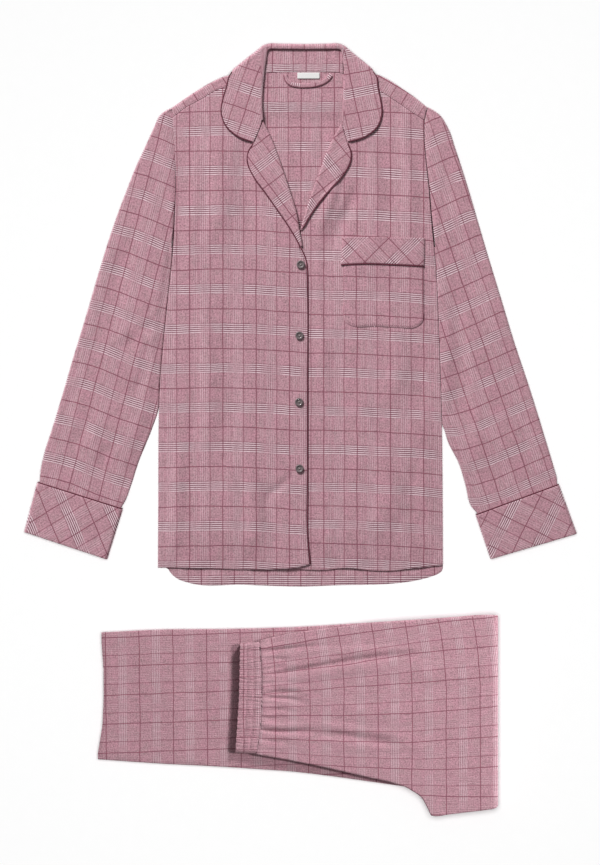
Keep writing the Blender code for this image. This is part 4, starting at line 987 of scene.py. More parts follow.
def make_sleeves():
    """Both sleeves: flattened tubes from the armhole into the cuff."""
    for side, name in ((-1, "sleeve_right"), (1, "sleeve_left")):
        rows = np.asarray(SLEEVE_RIGHT if side < 0 else SLEEVE_LEFT, float)
        outer, inner = rows[:, :2].copy(), rows[:, 2:].copy()
        middle = (outer + inner) / 2
        coarse = np.r_[0, np.cumsum(np.linalg.norm(np.diff(middle, axis=0), axis=1))]
        at = np.linspace(0, coarse[-1], int(coarse[-1] / step_mm()) + 1)
        number = np.interp(at, coarse, np.arange(len(rows)))
        outer, inner = hermite(outer, coarse, at), hermite(inner, coarse, at)
        beside_body = side_x(side, inner[:, 1]) + GROOVE
        near = ease(inner[:, 1], LEAVES_BODY[side], LEAVES_BODY[side] + 14)
        inner[:, 0] = side * mix(np.maximum(np.abs(inner[:, 0]), beside_body), beside_body, near)
        shares = shares_of(190, step_mm())
        seam = armhole(side, shares)
        run = unit(outer[4] - seam[0])
        outer[0] = seam[0] + np.array([-run[1], run[0]]) * side * ((Z_SLEEVE - REST) / 2 + CLOTH / 2)
        sunk = 1.4 * (1 - ease(at, 0, 6.5))[:, None] * np.ones(len(shares))
        inner[0] = seam[-1]
        straight = mix(seam[0], seam[-1], shares[:, None])
        bow = (seam - straight)[None] * (1 - ease(number, 0, 4))[:, None, None]
        enter = ease(number, LIFT_FROM, LIFT_FROM + 2)
        low = mix(REST, Z_CUFFED[0], enter)
        high = mix(Z_SLEEVE + 0.35 * np.sin(number * 1.9) * ease(number, 1.5, 3), Z_CUFFED[1], enter)
        rings = flattened(outer, inner, low, high, shares, CLOTH, bow)
        above = rings[:, : len(shares)]
        edges = ease(shares, 0, 0.1) * (1 - ease(shares, 0.9, 1))
        free = ease(number, 0.2, 1.5)[:, None] * (1 - enter)[:, None] * edges[None]
        above[..., 2] += free * (creases(above, SLEEVE_CREASES) + slack(above, 0.2, side)) - sunk
        fall = FALL[side] * (1 - ease(inner[:, 1], 225, 256))[:, None] * (1 - enter)[:, None]
        above[..., 2] -= fall * ease(shares, 0.84, 1)[None]
        inner_edge = rings[:, len(shares) : len(shares) + ROUND_STEPS]
        inner_edge[..., 2] = REST + (inner_edge[..., 2] - REST) * (1 - fall / (Z_SLEEVE - REST))
        weave = ring_weave(sleeve_weave(side, rings[..., :2]), len(shares))
        made = cloth(name, rings, weave, flannel_look(), ring=True)


def make_cuffs():
    """Both turned-back cuffs: flattened bands cut on the bias, softly bowed, each with piping on its upper edge."""
    for side, name in ((-1, "cuff_right"), (1, "cuff_left")):
        edges = np.asarray(CUFF_RIGHT if side < 0 else CUFF_LEFT, float)
        shares, across = shares_of(72, step_mm(0.8))[:, None], shares_of(120, step_mm(0.8))
        rows = mix(edges[0][None], edges[1][None], shares)
        rings = flattened(rows[:, :2], rows[:, 2:], *Z_CUFF, across, CUFF)
        above = rings[:, : len(across)]
        edge = ease(across, 0, 0.12) * (1 - ease(across, 0.88, 1))
        above[..., 2] += edge[None] * (1.0 * creases(above, CUFF_CREASES) + slack(above, 0.12, 3))
        origin = (-354.8, -116.1, 113, 8) if side < 0 else (314.9, -135.3, 63.7)
        weave = ring_weave(weave_at(rings[..., :2], *origin), len(across))
        made = cloth(name, rings, weave, flannel_look(), CUFF, ring=True)
        line = edges[0].reshape(2, 2) + unit(edges[0, :2] - edges[1, :2]) * BESIDE
        low, high = PIPING + 0.05, Z_CUFF[1] - 0.15
        ring = flattened(line[:1], line[1:], low, high, shares_of(120, 3), 2 * PIPING, around=9)[0]
        tube("piping_" + name, ring, PIPING, look("piping_satin", satin), closed=True)


# ---- collar and lapels ----
def leaf_section(row, pivot):
    """Section of the collar on a front, from the top of the roll out to the leaf's edge."""
    middle, edge = np.array(row[2:4], float), np.array(row[4:6], float)
    shares = np.r_[np.linspace(0, row[6], 4), np.linspace(row[6], 1, 7)[1:]]
    return [(*p, Z_LEAF) for p in through([pivot, middle, edge], shares)]


def behind_section(row, pivot):
    """Section of the collar round the back, from the top of the roll over the fold and under the back."""
    fold, edge, share = np.array(row[2:4], float), np.array(row[4:6], float), row[6]
    radius = (Z_LEAF - REST) / 2
    outward = unit(fold - edge)
    axis = fold - outward * (radius + CLOTH / 2)
    points = [(*mix(pivot, axis, t), Z_LEAF) for t in (0, 1 / 3, 2 / 3)]
    angles = np.linspace(90, 90 - 180 * share, 7) if share < 1 else (90, 45, 0, -45, -90)
    for turn in np.radians(angles):
        points.append((*(axis + outward * radius * math.cos(turn)), REST + radius * (1 + math.sin(turn))))
    if share == 1:
        points += [(*mix(axis, edge, t), REST) for t in (0.5, 1)]
    return points


def collar_weave(plan):
    """Check on the collar: straight behind the neck, and turned with each leaf."""
    x = plan[..., 0]
    right, left = weave_at(plan, -76.5, 447, -18.5), weave_at(plan, 80.4, 442.4, 12)
    middle = weave_at(plan, 6, 531)
    t_right, t_left = 1 - ease(x, -56, -44), ease(x, 48, 62)
    weave = mix(middle, right, t_right[..., None])
    return mix(weave, left, t_left[..., None])


def make_collar():
    """The collar with its piping, and its inner side at the back."""
    rows = LEAF_RIGHT + BEHIND + LEAF_LEFT[::-1]
    roll = np.array([row[:2] for row in rows], float)
    bulge = square_to(roll, np.asarray(NECK_MIDDLE, float))
    radius = (Z_LEAF - Z_SHOULDER) / 2
    pivot = roll - bulge * (radius + CLOTH / 2)
    turn = np.radians([-90, -30, 30])
    curl = pivot[:, None] + bulge[:, None] * radius * np.cos(turn)[:, None]
    flat = [behind_section(r, p) if r in BEHIND else leaf_section(r, p) for r, p in zip(rows, pivot)]
    grid = np.concatenate([with_height(curl, Z_SHOULDER + radius * (1 + np.sin(turn))), np.array(flat)], axis=1)
    edge = grid[:, -1]
    path = beside(edge, grid[:, -2])
    path[:, 2] = np.maximum(path[:, 2], PIPING + 0.03)
    level = np.sqrt(np.maximum(BESIDE**2 - (path[:, 2:] - edge[:, 2:]) ** 2, 0))
    level[len(LEAF_RIGHT) : -len(LEAF_LEFT)] += 0.5
    path[:, :2] = edge[:, :2] + unit(path[:, :2] - edge[:, :2]) * level
    path[0], path[-1] = mix(path[0], path[1], 0.12), mix(path[-1], path[-2], 0.12)
    fine = refine(grid, step_mm(0.8))
    fine[..., 2] = np.clip(fine[..., 2], REST, Z_LEAF + 0.1)
    made = cloth("collar", fine, collar_weave(fine), flannel_look())
    tube("piping_collar", through(path, 260), PIPING, look("piping_satin", satin))
    across, up = shares_of(108, 2.4), shares_of(35, 2.4)
    plan = mix(through(STAND_SEAM, across), through(STAND_TOP, across), up[:, None, None])
    z = Z_STAND + 0.1 * up[:, None] + 0.25 * np.sin(plan[..., 0] / 9 + plan[..., 1] / 6) * np.sin(math.pi * up)[:, None]
    crumple = creases(plan, ((46, 534, 55, 508, 1.2, 2.6), (56, 528, 44, 502, -0.6, 3), (-44, 530, -30, 505, -0.5, 3)))
    z = z + crumple * np.sin(math.pi * up)[:, None]
    stand = cloth("collar_stand", with_height(plan, z), weave_at(plan, 8.05, 531.0), flannel_look())


def beside(edge, inner):
    """The middle of a piping: edge points moved on in the cloth's own surface, square to the edge."""
    run = unit(np.gradient(edge, axis=0))
    away = edge - inner
    away = away - run * np.sum(away * run, axis=1, keepdims=True)
    return edge + unit(away) * BESIDE


LAPEL_SHARES = np.array([0, 0.25, 0.5, 0.75, 1])


def make_lapels():
    """Both lapels: flat from the outer edge to the roll, then round and down, each with its piping."""
    for side, name in ((-1, "lapel_right"), (1, "lapel_left")):
        rows = np.asarray(LAPEL_RIGHT if side < 0 else LAPEL_LEFT, float)
        outer, roll = rows[:, :2], rows[:, 2:]
        inward = unit(roll - outer)
        radius = LIE / 2
        axis = roll - inward * (radius + CLOTH / 2)
        plan = mix(outer[:, None], axis[:, None], LAPEL_SHARES[None, :, None])
        flat = with_height(plan, front_height(side, plan) + LIE)
        angles = np.radians([45, 0, -45, -90])
        curl = axis[:, None] + inward[:, None] * (radius * np.cos(angles))[None, :, None]
        curl_z = (front_height(side, axis) + radius)[:, None] + radius * np.sin(angles)[None]
        grid = np.concatenate([flat, with_height(curl, curl_z)], axis=1)
        fine = refine(grid, step_mm(0.7))
        place, turn = ((-77.6, 386.2), 37) if side < 0 else ((75.7, 370.6), -52)
        made = cloth(name, fine, weave_at(fine[..., :2], *place, turn), flannel_look())
        path = beside(flat[:, 0], flat.mean(axis=(0, 1)))
        if side < 0:
            path = np.r_[path, np.asarray(FRONT_PIPING, float)]
        cord = "piping_front_right" if side < 0 else "piping_lapel_left"
        tube(cord, through(path, 300 if side < 0 else 90), PIPING, look("piping_satin", satin))


# ---- what lies on the panels ----
def make_pocket():
    """Patch pocket on the left chest, its bias band and the band's piping."""
    across, up = shares_of(113, step_mm(0.8)), shares_of(118, step_mm(0.8))
    low, high = through(POCKET_BOTTOM, across), through(POCKET_TOP, across)
    plan = patch(low, high, through([low[0], high[0]], up), through([low[-1], high[-1]], up), across, up)
    sag = 0.2 * np.sin(math.pi * across)[None] * np.sin(math.pi * up)[:, None]
    ends = ease(across, 0, 0.02) * (1 - ease(across, 0.98, 1))
    sag -= np.maximum(1.5 * RIM * (1 - ends)[None], RIM * (1 - ease(up, 0, 0.02))[:, None])
    weave = front_weave(1, plan) + np.array([1.2, 0.8])
    made = cloth("pocket", with_height(plan, front_height(1, plan) + POCKET_LIE + sag), weave, flannel_look(), wall=POCKET_WALL)
    up = shares_of(37, step_mm(0.7))
    low, high = through(BAND_BOTTOM, across), through(BAND_TOP, across)
    plan = patch(low, high, through([low[0], high[0]], up), through([low[-1], high[-1]], up), across, up)
    band = with_height(plan, front_height(1, plan) + POCKET_LIE + POCKET_WALL + 0.25 - 2.0 * RIM * (1 - ends)[None])
    made = cloth("pocket_band", band, weave_at(plan, 123.8, 266.5, 44), flannel_look(), POCKET_WALL)
    path = beside(band[0], band[1])
    tube("piping_pocket", path, PIPING, look("piping_satin", satin))


def make_neck_trim():
    """Hanger loop of the shirt's own cloth, and the blank label."""
    line = through(LOOP, 60)
    run = unit(np.gradient(line, axis=0))
    across = np.stack([-run[:, 1], run[:, 0]], axis=1) * LOOP_WIDTH / 2
    top = Z_BACK_NECK + CLOTH / 2 + 0.4
    strips = np.linspace(-1, 1, 7)
    plan = line[:, None] + across[:, None] * strips[None, :, None]
    z = top + 0.5 + 0.35 * (1 - strips**2)[None] * np.ones((60, 1))
    length = np.r_[0, np.cumsum(np.linalg.norm(np.diff(line, axis=0), axis=1))]
    # u is offset so that a burgundy line of the check runs along the loop's lower edge: the check's own colour, placed
    # there as painted shadow under the loop's edge
    weave = np.stack(np.broadcast_arrays(strips[None] * 3.1 + 2.4, length[:, None] + 5), axis=-1)
    made = cloth("hanger_loop", with_height(plan, z), weave, flannel_look(), wall=1.0)
    low_x, high_x, low_y, high_y = LABEL
    across, up = np.linspace(0, 1, 20), np.linspace(0, 1, 8)
    x, y = np.meshgrid(mix(low_x, high_x, across), mix(low_y, high_y, up))
    z = top + 0.4 + 0.3 * np.sin(math.pi * across)[None] * (0.6 + 0.4 * up)[:, None]
    made = cloth("neck_label", np.stack([x, y, z], axis=-1), np.stack([x, y], axis=-1), look("label_tape", tape), 0.7)


def make_buttons():
    """Four turned buttons: a raised rim, a dished middle with four sewing holes, and the thread through them."""
    profile = np.array([
        (0, 0.62), (0.3, 0.6), (0.5, 0.62), (0.6, 0.72), (0.68, 0.95), (0.76, 1), (0.88, 0.98), (0.96, 0.86),
        (1, 0.66), (0.99, 0.4), (0.93, 0.16), (0.8, 0.03), (0.5, 0), (0, 0),
    ])
    fine = through(profile[1:-1], 36)
    turn = np.linspace(0, 2 * math.pi, 40, endpoint=False)
    ring = np.stack([np.cos(turn), np.sin(turn)], axis=-1)
    dark, cross = [], []
    for number, (x, y) in enumerate(BUTTONS, 1):
        z = float(front_height(-1, np.array([x, y], float))) + CLOTH / 2 + 0.4
        plan = ring[None] * fine[:, :1, None] * BUTTON_R + (x, y)
        grid = with_height(plan, (fine[:, 1] * BUTTON_H + z)[:, None])
        index = np.arange(grid[..., 0].size).reshape(grid.shape[:2])
        index = np.c_[index, index[:, :1]]
        faces = corners_of(index)[:, ::-1].tolist() + [index[0, :-1].tolist(), index[-1, :-1][::-1].tolist()]
        name = f"button_{number}"
        finished(name, mesh_from(name, grid, faces), [name], look("button_moulded", moulded))
        spin = 0.5 + 0.9 * number
        holes = [(math.cos(spin + k * math.pi / 2), math.sin(spin + k * math.pi / 2)) for k in range(4)]
        dark += [(x + 1.35 * a, y + 1.35 * b, z + 0.62 * BUTTON_H) for a, b in holes]
        cross += [
            [(x + 1.35 * holes[a][0], y + 1.35 * holes[a][1], z + 0.66 * BUTTON_H) for a in pair]
            for pair in ((0, 2), (1, 3))
        ]
    lines = [through([a, ((a[0] + b[0]) / 2, (a[1] + b[1]) / 2, a[2] + 0.35), b], 8) for a, b in cross]
    strand = look("button_thread", thread, "button_thread", (0.42, 0.38, 0.36))
    sewing("button_threads", lines, 3.4, strand, 0.8, 0.45, 1.0)
    # the sewing holes are short near-black pits of painted shade, not holes through the button
    turn = np.linspace(0, 2 * math.pi, 10, endpoint=False)
    disc = np.stack([0.42 * np.cos(turn), 0.42 * np.sin(turn), 0 * turn], axis=-1)
    pits = np.array(dark)[:, None, None] + np.stack([disc, disc - (0, 0, 0.3)])[None]
    number = np.arange(len(dark) * 20).reshape(-1, 2, 10)
    walls = np.stack([number[:, 0], number[:, 1], np.roll(number[:, 1], -1, 1), np.roll(number[:, 0], -1, 1)], axis=-1)
    faces = walls.reshape(-1, 4).tolist() + number[:, 0].tolist() + number[:, 1, ::-1].tolist()
    finished("button_holes", mesh_from("button_holes", pits, faces), None, look("hole_shade", shade))


def shade():
    """Unlit depth of the buttons' sewing holes."""
    n = Nodes("hole_shade")
    where = n.add("ShaderNodeTexCoord").outputs["Object"]
    colour = n.blend(n.noise(where, 900.0), (0.008, 0.006, 0.006, 1), (0.02, 0.016, 0.015, 1))
    return n.finish(colour, 0.8)


# ---- trousers ----
def leg_path(layer):
    """Stations of a flattened leg along the fold: x, upper y, lower y, z, and the way that faces out of the fold."""
    lower, upper = np.asarray(LEG_LOWER, float), np.asarray(HIP_UPPER, float)
    z_low, z_high = Z_LOWER[layer], Z_UPPER[layer]
    radius = (z_high - z_low) / 2
    axis_x = FOLD_X - (Z_UPPER[0] - Z_LOWER[0]) / 2 - LEG_MIDDLE - CLOTH / 2
    stations = [(x, top, low, z_low, 0, -1) for x, top, low in lower]
    turn_ends = np.array([lower[-1, 1:], upper[0, 1:]])
    for angle in np.linspace(-90, 90, FOLD_STEPS + 2)[1:-1]:
        share = (angle + 90) / 180
        top, low = mix(turn_ends[0], turn_ends[1], share)
        c, s = math.cos(math.radians(angle)), math.sin(math.radians(angle))
        stations.append((axis_x + radius * c, top, low, (z_low + z_high) / 2 + radius * s, c, s))
    for x, top, low in upper:
        sag = WAIST_SAG * (1 - float(ease(x, -50, 200)))
        stations.append((x, top, low, z_high - sag, 0, 1))
    return np.array(stations)


def hip_folds(x, y):
    """Height of the gathers that run from the waistband over the hip, deepest at the band."""
    z = np.zeros_like(x)
    for x0, y0, x1, y1, depth, half in HIP_FOLDS:
        share = np.clip((x - x0) / (x1 - x0), 0, 1)
        off = np.abs(y - mix(y0, y1, share)) / (half * (1 + 0.6 * share))
        z += depth * (1 - ease(off, 0, 1)) * (1 - share) ** 0.8 * (1 - ease(x, x1 - 5, x1))
    return z


def hip_relief(x, y):
    """Finer gathers beside the band, and the creases over the hip."""
    plan = np.stack([x, y], axis=-1)
    share = band_share(y)
    length = 30 + 20 * np.sin(share * 61) + 12 * np.sin(share * 23 + 1)
    near = 1 - ease(x + 53, 0, np.maximum(length, 10))
    edges = ease(share, 0.01, 0.06) * (1 - ease(share, 0.94, 0.99))
    return edges * (1.3 * gathers(share, 0) * near + creases(plan, HIP_CREASES)) + slack(plan, 0.16, 5) * edges


def band_share(y):
    """Share of the way down the waistband at height y."""
    return np.clip((y - WAIST_Y[0]) / (WAIST_Y[2] - WAIST_Y[0]), 0, 1)


def to_band(x, y):
    """x of the hip's cloth, drawn out near its end so that it meets the slanting edge of the waistband."""
    table = np.asarray(WAISTBAND, float)
    seam = np.interp(band_share(y), table[:, 0], table[:, 1])
    return x + (seam + 52.6) * (1 - ease(x, -52.5, -12))


def gathers(share, across):
    """Crests of the gathers at a share of the way down the band, 0 to 1: rectified sine waves of uneven spacing,
    with finer ones between; across is the distance from the seam in mm."""
    sway = 0.5 * np.sin(29 * share) + 0.22 * np.sin(9 * share + across / 7)
    coarse = np.abs(np.sin(math.pi * (GATHERS * share + sway)))
    fine = np.abs(np.sin(math.pi * (GATHERS * 1.9 * share + 0.4 * np.sin(across / 3.1 + 40 * share))))
    return 0.68 * coarse + 0.32 * fine


def make_leg(layer):
    """A flattened leg, laid along the lower run, round the fold and back over the hip to the waistband."""
    coarse = leg_path(layer)
    place = coarse[:, [0, 3]]
    chord = np.r_[0, np.cumsum(np.linalg.norm(np.diff(place, axis=0), axis=1))]
    step = step_mm(1.1 if layer == 0 else 2.0)
    parts = np.maximum(1, np.ceil(np.diff(chord) / step)).astype(int)
    parts[6:12] = np.maximum(parts[6:12], 3)
    at = [np.linspace(chord[k], chord[k + 1], parts[k], endpoint=False) for k in range(len(parts))]
    at = np.concatenate(at + [chord[-1:]])
    stations = hermite(coarse, chord, at)
    stations[:, 3] = np.maximum(stations[:, 3], Z_LOWER[layer])
    out = unit(stations[:, 4:6])
    number = np.interp(at, chord, np.arange(len(coarse)))
    on_top = ease(number, 8.6, 9.6)
    tuck = TUCK * (on_top if layer == 1 else 1 - on_top)
    high_y, low_y = stations[:, 1] - tuck - LEG_MIDDLE - CLOTH / 2, stations[:, 2] + tuck + LEG_MIDDLE + CLOTH / 2
    centre = stations[:, [0, 3]]
    rings, weaves = [], []
    for facing in (1, -1):
        wide = np.linspace(0, 1, int(210 / (step * (0.46 if layer == 0 and facing == 1 else 1))))
        y = mix(high_y[:, None], low_y[:, None], wide[None, ::facing])
        xz = np.broadcast_to(centre[:, None] + out[:, None] * facing * LEG_MIDDLE, (*y.shape, 2)).copy()
        if layer == 0 and facing == 1:
            upper = ease(number, 11.5, 12.5)[:, None]
            xz[..., 1] += upper * (0.6 * hip_folds(xz[..., 0], y) + hip_relief(xz[..., 0], y))
            xz[..., 1] += 1.1 * upper * (1 - ease(xz[..., 0], -50, -32))
        if facing == -1:
            lower = 1 - ease(number, 4.5, 6)[:, None]
            edge = ease(wide, 0, 0.05) * (1 - ease(wide, 0.95, 1))
            plan = np.stack([xz[..., 0], y], axis=-1)
            xz[..., 1] += lower * edge[None] * (layer == 1) * (creases(plan, LEG_CREASES) + slack(plan, 0.14, 7))
        rings.append(np.stack([to_band(xz[..., 0], y), y, xz[..., 1]], axis=-1))
        end, sign = (low_y, 1) if facing == 1 else (high_y, -1)
        turns = np.radians([60, 30, 0, -30, -60])
        reach = end[:, None] - sign * LEG_MIDDLE * np.cos(turns)[None]
        lift = centre[:, None] + out[:, None] * (sign * LEG_MIDDLE * np.sin(turns))[None, :, None]
        rings.append(np.stack([to_band(lift[..., 0], reach), reach, lift[..., 1]], axis=-1))
    grid = np.concatenate(rings, axis=1)
    closed = np.concatenate([grid, grid[:, :1]], axis=1)
    weave = trouser_place(closed[..., 0], closed[..., 1], number[:, None])
    name = "leg_left" if layer == 0 else "leg_right"
    made = cloth(name, grid, weave, trouser_look(), ring=True)


def trouser_place(x, y, number):
    """Place on the trousers' cloth: straight from the plan on the legs, and over the hip between the lines of its
    check, which fan out from the band."""
    leg_u = (-289.7 + 0.036 * (x + 223) - y) / LEG_SCALE[0]
    leg_v = (x + 177.6 + 0.01 * (y + 360)) / LEG_SCALE[1]
    lines = [np.interp(x, HIP_X, row) for row in HIP_LINES]
    count = np.maximum(lines[-1] - y, 0) / 42 - np.maximum(y - lines[0], 0) / 42
    for above, below in zip(lines, lines[1:]):
        count = count + np.clip((above - y) / (above - below), 0, 1)
    hip_u = count * REPEAT_U
    hip_v = (x - 61 + 8.8 * np.maximum((y + 373.5) / 96.6, 0) ** 2) / HIP_SCALE[1]
    upper = ease(number, 8.5, 9.5)
    return np.stack([mix(leg_u, hip_u, upper), mix(leg_v, hip_v, upper)], axis=-1)


def make_legs():
    """Both legs of the trousers."""
    make_leg(0)
    make_leg(1)


def make_waistband():
    """The waistband: a closed loop flattened and folded in half, its upper layer puckered between three stitch rows."""
    z1, z2, z3, z4 = Z_WAIST
    small, large = (z2 - z1) / 2, (z4 - z1) / 2
    table = np.asarray(WAISTBAND, float)
    rows, weaves = [], []
    for t in np.linspace(0, 1, 27):
        high = mix(WAIST_Y[0], WAIST_Y[1], t) - small - RIB / 2
        low = mix(WAIST_Y[2], WAIST_Y[3], t) + large + RIB / 2
        shares = np.linspace(0, 1, 281)
        swell = 0.75 + 0.25 * np.sin(shares * 41 + 2.2 * t)
        wave = gathers(shares, 30 * t)
        pinch = 1 - 0.55 * sum(math.exp(-(((t - row) / 0.05) ** 2)) for row in (0.06, 0.36, 0.66))
        crest = swell * wave * GATHER_DEPTH * pinch * ease(shares, 0, 0.02) * (1 - ease(shares, 0.98, 1))
        crest = crest - 0.25 * (1 - pinch)
        loop = [np.stack([mix(high, low, shares), z4 + crest], axis=-1)]
        turn = np.radians([60, 30, 0, -30, -60])
        loop.append(np.stack([low - large * np.cos(turn), (z1 + z4) / 2 + large * np.sin(turn)], axis=-1))
        for z, ends in ((z1, (low, high)), (z2, (high, low)), (z3, (low, high))):
            loop.append(np.stack([mix(*ends, np.linspace(0, 1, 24)), np.full(24, z)], axis=-1))
            if z < z3:
                y_turn, way = (high, 1) if z == z1 else (low, -1)
                loop.append(np.array([(y_turn + way * small, z + small)]))
        loop.append(np.array([(high + small, (z3 + z4) / 2)]))
        y, z = np.concatenate(loop).T
        seam_x, end_x = (np.interp(band_share(y), table[:, 0], table[:, k]) for k in (1, 2))
        edge = 1.4 * np.sin(shares * 97) * max(0.0, t - 0.75)
        x = mix(seam_x - 0.1, end_x, t)
        x[: len(shares)] += edge
        rows.append(np.stack([x, y, z], axis=1))
    grid = np.stack(rows)
    closed = np.concatenate([grid, grid[:, :1]], axis=1)
    gathered = (-289.7 - closed[..., 1]) / HIP_SCALE[0] * 1.5
    weave = np.stack([gathered, (closed[..., 0] + 79) / HIP_SCALE[1]], axis=-1)
    made = cloth("waistband", grid, weave, trouser_look(), RIB, ring=True)


# ---- sewing ----
def lifted(plan, z, up=CLOTH / 2 + 0.05):
    """Plan points with the height of a panel's upper face."""
    return with_height(np.asarray(plan, float), z + up)


def moved_in(edge, inside, distance):
    """Edge points moved square to the edge towards inside by distance."""
    edge = np.asarray(edge, float)
    return edge + square_to(edge, np.asarray(inside, float)) * distance


def make_sewing():
    """Rows of stitches: shoulders, armholes, placket, hems, pocket, collar seam, cuffs and waistband."""
    trim = bpy.context.scene.pyjama_trim
    pitch = trim.stitch / MM
    lines = []
    for side, seam in ((-1, SEAM_RIGHT), (1, SEAM_LEFT)):
        curve = through(seam, 80)
        z_seam = mix(Z_SLEEVE, Z_SHOULDER, ease(np.abs(curve[:, 0]), 165, 105))
        lines.append(lifted(curve + (0, 3.2), z_seam + 0.05))
        edge = through((SIDE_RIGHT if side < 0 else SIDE_LEFT)[6:-1], 90)
        near = moved_in(edge, (0, 300), 3.0)
        lines.append(lifted(near, front_height(side, near)))
        hem = through(HEM_RIGHT if side < 0 else HEM_LEFT, 120) + (0, 17)
        hem = hem[3:-2]
        lines.append(lifted(hem, front_height(side, hem)))
    centre = through(CENTRE_RIGHT[:6], 160)
    for inset in (4.5,):
        near = moved_in(centre, (-100, 0), inset)
        lines.append(lifted(near, front_height(-1, near)))
    corner = np.r_[[POCKET_TOP[0]], POCKET_BOTTOM, [POCKET_TOP[1]]]
    rim = through(corner, 220)
    near = rim + unit(np.array((116.0, 210.0)) - rim) * 3.0
    near = near[near[:, 1] < 226]
    lines.append(lifted(near, front_height(1, near) + POCKET_LIE - 0.1))
    band = through(BAND_TOP, 60) - (0, 2.6)
    lines.append(lifted(band, front_height(1, band) + POCKET_LIE + POCKET_WALL + 0.15))
    hem = through(HEM_BACK, 200)[14:-12]
    near = moved_in(hem, (0, 0), 9.0)
    near = near[near[:, 1] < -201]
    lines.append(lifted(near, back_height(near)))
    neck = through(NECK_BACK[1:-1], 60) - (0, 2.2)
    lines.append(lifted(neck[:22], np.full(22, Z_BACK_NECK)))
    lines.append(lifted(neck[46:], np.full(14, Z_BACK_NECK)))
    sewn = look("sewing_thread", thread, "sewing_thread", tuple(trim.thread))
    sewing("stitching_shirt", lines, pitch, sewn)
    rows = []
    table = np.asarray(WAISTBAND, float)
    for t in (0.06, 0.36, 0.66):
        share = np.linspace(0.02, 0.98, 120)
        seam_x, end_x = (np.interp(share, table[:, 0], table[:, k]) for k in (1, 2))
        y = mix(WAIST_Y[0] - 2.5, WAIST_Y[2] + 4.5, share)
        rows.append(np.stack([mix(seam_x - SEAM, end_x, t), y, np.full(120, Z_WAIST[3] + RIB / 2 + 0.2)], axis=1))
    sewing("stitching_trousers", rows, pitch * 0.95, sewn)


# ---- stage ----
def softbox(name, place, target, size, power, keep):
    """A square soft light aimed at target, seen only by the objects in keep."""
    data = bpy.data.lights.new(name, "AREA")
    data.shape = "SQUARE"
    data.size = size
    data.energy = power
    lamp = bpy.data.objects.new(name, data)
    bpy.context.scene.collection.objects.link(lamp)
    away = np.asarray(place, float) - np.asarray(target, float)
    lamp.location = place
    pan, tilt = math.atan2(away[0], -away[1]), math.acos(away[2] / np.linalg.norm(away))
    lamp.rotation_euler = (tilt, 0, pan)
    if keep:
        group = bpy.data.collections.new(name + "_lights")
        for item in keep:
            group.objects.link(item)
        lamp.light_linking.receiver_collection = group


def make_stage():
    """Pale floor, even light from all round, a soft box for each garment, and the camera straight above."""
    s = bpy.context.scene.pyjama_stage
    n = Nodes("floor_paint")
    where = n.add("ShaderNodeTexCoord").outputs["Object"]
    colour = n.blend(n.noise(where, 60.0), opaque(s.floor), opaque([c * 0.985 for c in s.floor]))
    n.finish(colour, 0.9)
    size = 6.0
    corners = [(-size, -size, 0), (size, -size, 0), (size, size, 0), (-size, size, 0)]
    mesh = bpy.data.meshes.new("floor")
    mesh.from_pydata([(x, y, -0.0002) for x, y, _ in corners], [], [(0, 1, 2, 3)])
    mesh.materials.append(n.material)
    floor = bpy.data.objects.new("floor", mesh)
    bpy.context.scene.collection.objects.link(floor)
    floor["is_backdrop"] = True
    world = bpy.data.worlds.new("even_light")
    world.use_nodes = True
    background = world.node_tree.nodes["Background"]
    background.inputs["Color"].default_value = (1, 1, 1, 1)
    background.inputs["Strength"].default_value = s.fill
    bpy.context.scene.world = world
    lower = ["made_" + name for name in ("leg_left", "leg_right", "waistband", "stitching_trousers")]
    trousers = [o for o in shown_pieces() if o.name in lower]
    shirt = [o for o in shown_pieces() if o not in trousers]
    softbox("shirt_key", (-3.6, 6.5, 4.9), (0, 0.1, 0), 2.3, s.key * 3.75, shirt)
    softbox("trousers_key", (3.5, 0.2, 2.9), (0, -0.38, 0), 0.7, s.key * 0.472, trousers)
    softbox("trousers_top", (1.9, 2.6, 1.75), (0, -0.38, 0), 0.7, s.key * 0.452, trousers)
    softbox("floor_key", (0, 0, 4.0), (0, 0, 0), 3.5, s.key * 0.68, [floor])
    data = bpy.data.cameras.new("camera")
    data.lens = s.lens
    data.sensor_width = 36
    camera = bpy.data.objects.new("camera", data)
    bpy.context.scene.collection.objects.link(camera)
    middle = np.array([-0.35, -4.55]) * MM + SHIFT
    camera.location = (*middle, s.tall * s.lens / data.sensor_width)
    data.clip_end = 50
    bpy.context.scene.camera = camera
    bpy.context.scene.view_settings.view_transform = "Standard"


# ---- operators and panel ----
def piece(key, label, text, make):
    """An operator class that makes one piece or group of pieces."""
    def execute(self, context):
        make()
        return {"FINISHED"}

    words = {"__doc__": text, "bl_idname": "pyjama." + key, "bl_label": label, "execute": execute}
    return type("PYJAMA_OT_" + key, (bpy.types.Operator,), words)


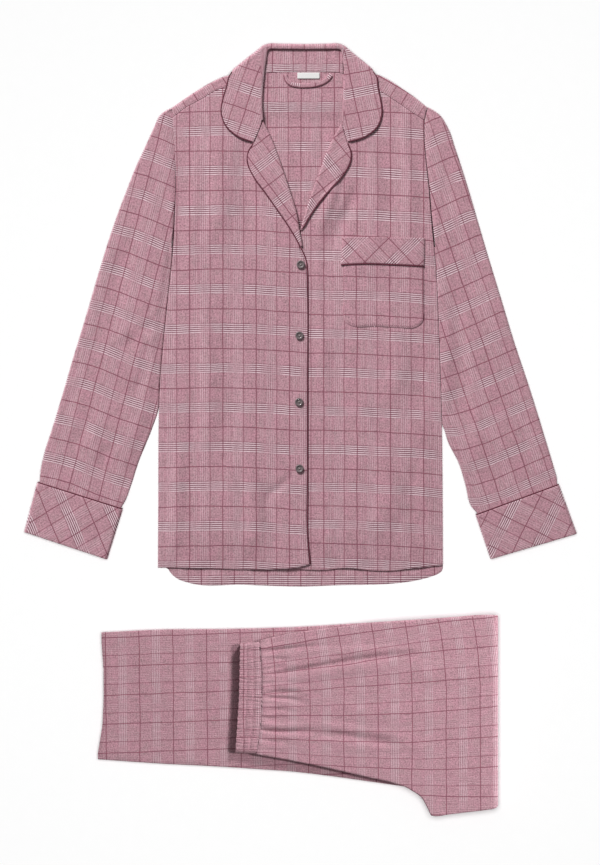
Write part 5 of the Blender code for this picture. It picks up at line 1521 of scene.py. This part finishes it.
PIECES = (
    piece("back", "Back", "Make the back panel with its forward shoulders", make_back),
    piece("fronts", "Fronts", "Make the two fronts", make_fronts),
    piece("sleeves", "Sleeves", "Make the two sleeves", make_sleeves),
    piece("cuffs", "Cuffs", "Make the turned-back cuffs and their piping", make_cuffs),
    piece("lapels", "Lapels", "Make the lapels and the piping down the front", make_lapels),
    piece("collar", "Collar", "Make the collar, its inner side and its piping", make_collar),
    piece("pocket", "Pocket", "Make the patch pocket and its bias band", make_pocket),
    piece("neck_trim", "Neck trim", "Make the hanger loop and the blank label", make_neck_trim),
    piece("buttons", "Buttons", "Make the four buttons and their thread", make_buttons),
    piece("legs", "Trouser legs", "Make the two folded legs", make_legs),
    piece("waistband", "Waistband", "Make the gathered waistband", make_waistband),
    piece("sewing", "Sewing", "Make all rows of stitches", make_sewing),
    piece("stage", "Stage", "Make the floor, the light and the camera", make_stage),
)


class PYJAMA_PT_pieces(bpy.types.Panel):
    """Lists the settings and the pieces."""

    bl_label = "Pyjama set"
    bl_idname = "PYJAMA_PT_pieces"
    bl_space_type = "VIEW_3D"
    bl_region_type = "UI"
    bl_category = "Pyjamas"

    def draw(self, context):
        for group in ("pyjama_cloth", "pyjama_trim", "pyjama_stage"):
            settings = getattr(context.scene, group)
            box = self.layout.box()
            for key in type(settings).__annotations__:
                box.prop(settings, key)
        for operator in PIECES:
            self.layout.operator(operator.bl_idname)


GROUPS = (("pyjama_cloth", PyjamaCloth), ("pyjama_trim", PyjamaTrim), ("pyjama_stage", PyjamaStage))


def register():
    for name, group in GROUPS:
        bpy.utils.register_class(group)
        setattr(bpy.types.Scene, name, PointerProperty(type=group))
    for item in (*PIECES, PYJAMA_PT_pieces):
        bpy.utils.register_class(item)


def unregister():
    for item in (PYJAMA_PT_pieces, *PIECES[::-1]):
        bpy.utils.unregister_class(item)
    for name, group in GROUPS[::-1]:
        delattr(bpy.types.Scene, name)
        bpy.utils.unregister_class(group)


def main():
    register()
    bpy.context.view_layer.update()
    for operator in PIECES:
        getattr(bpy.ops.pyjama, operator.bl_idname.split(".")[1])()


if __name__ == "__main__":
    main()
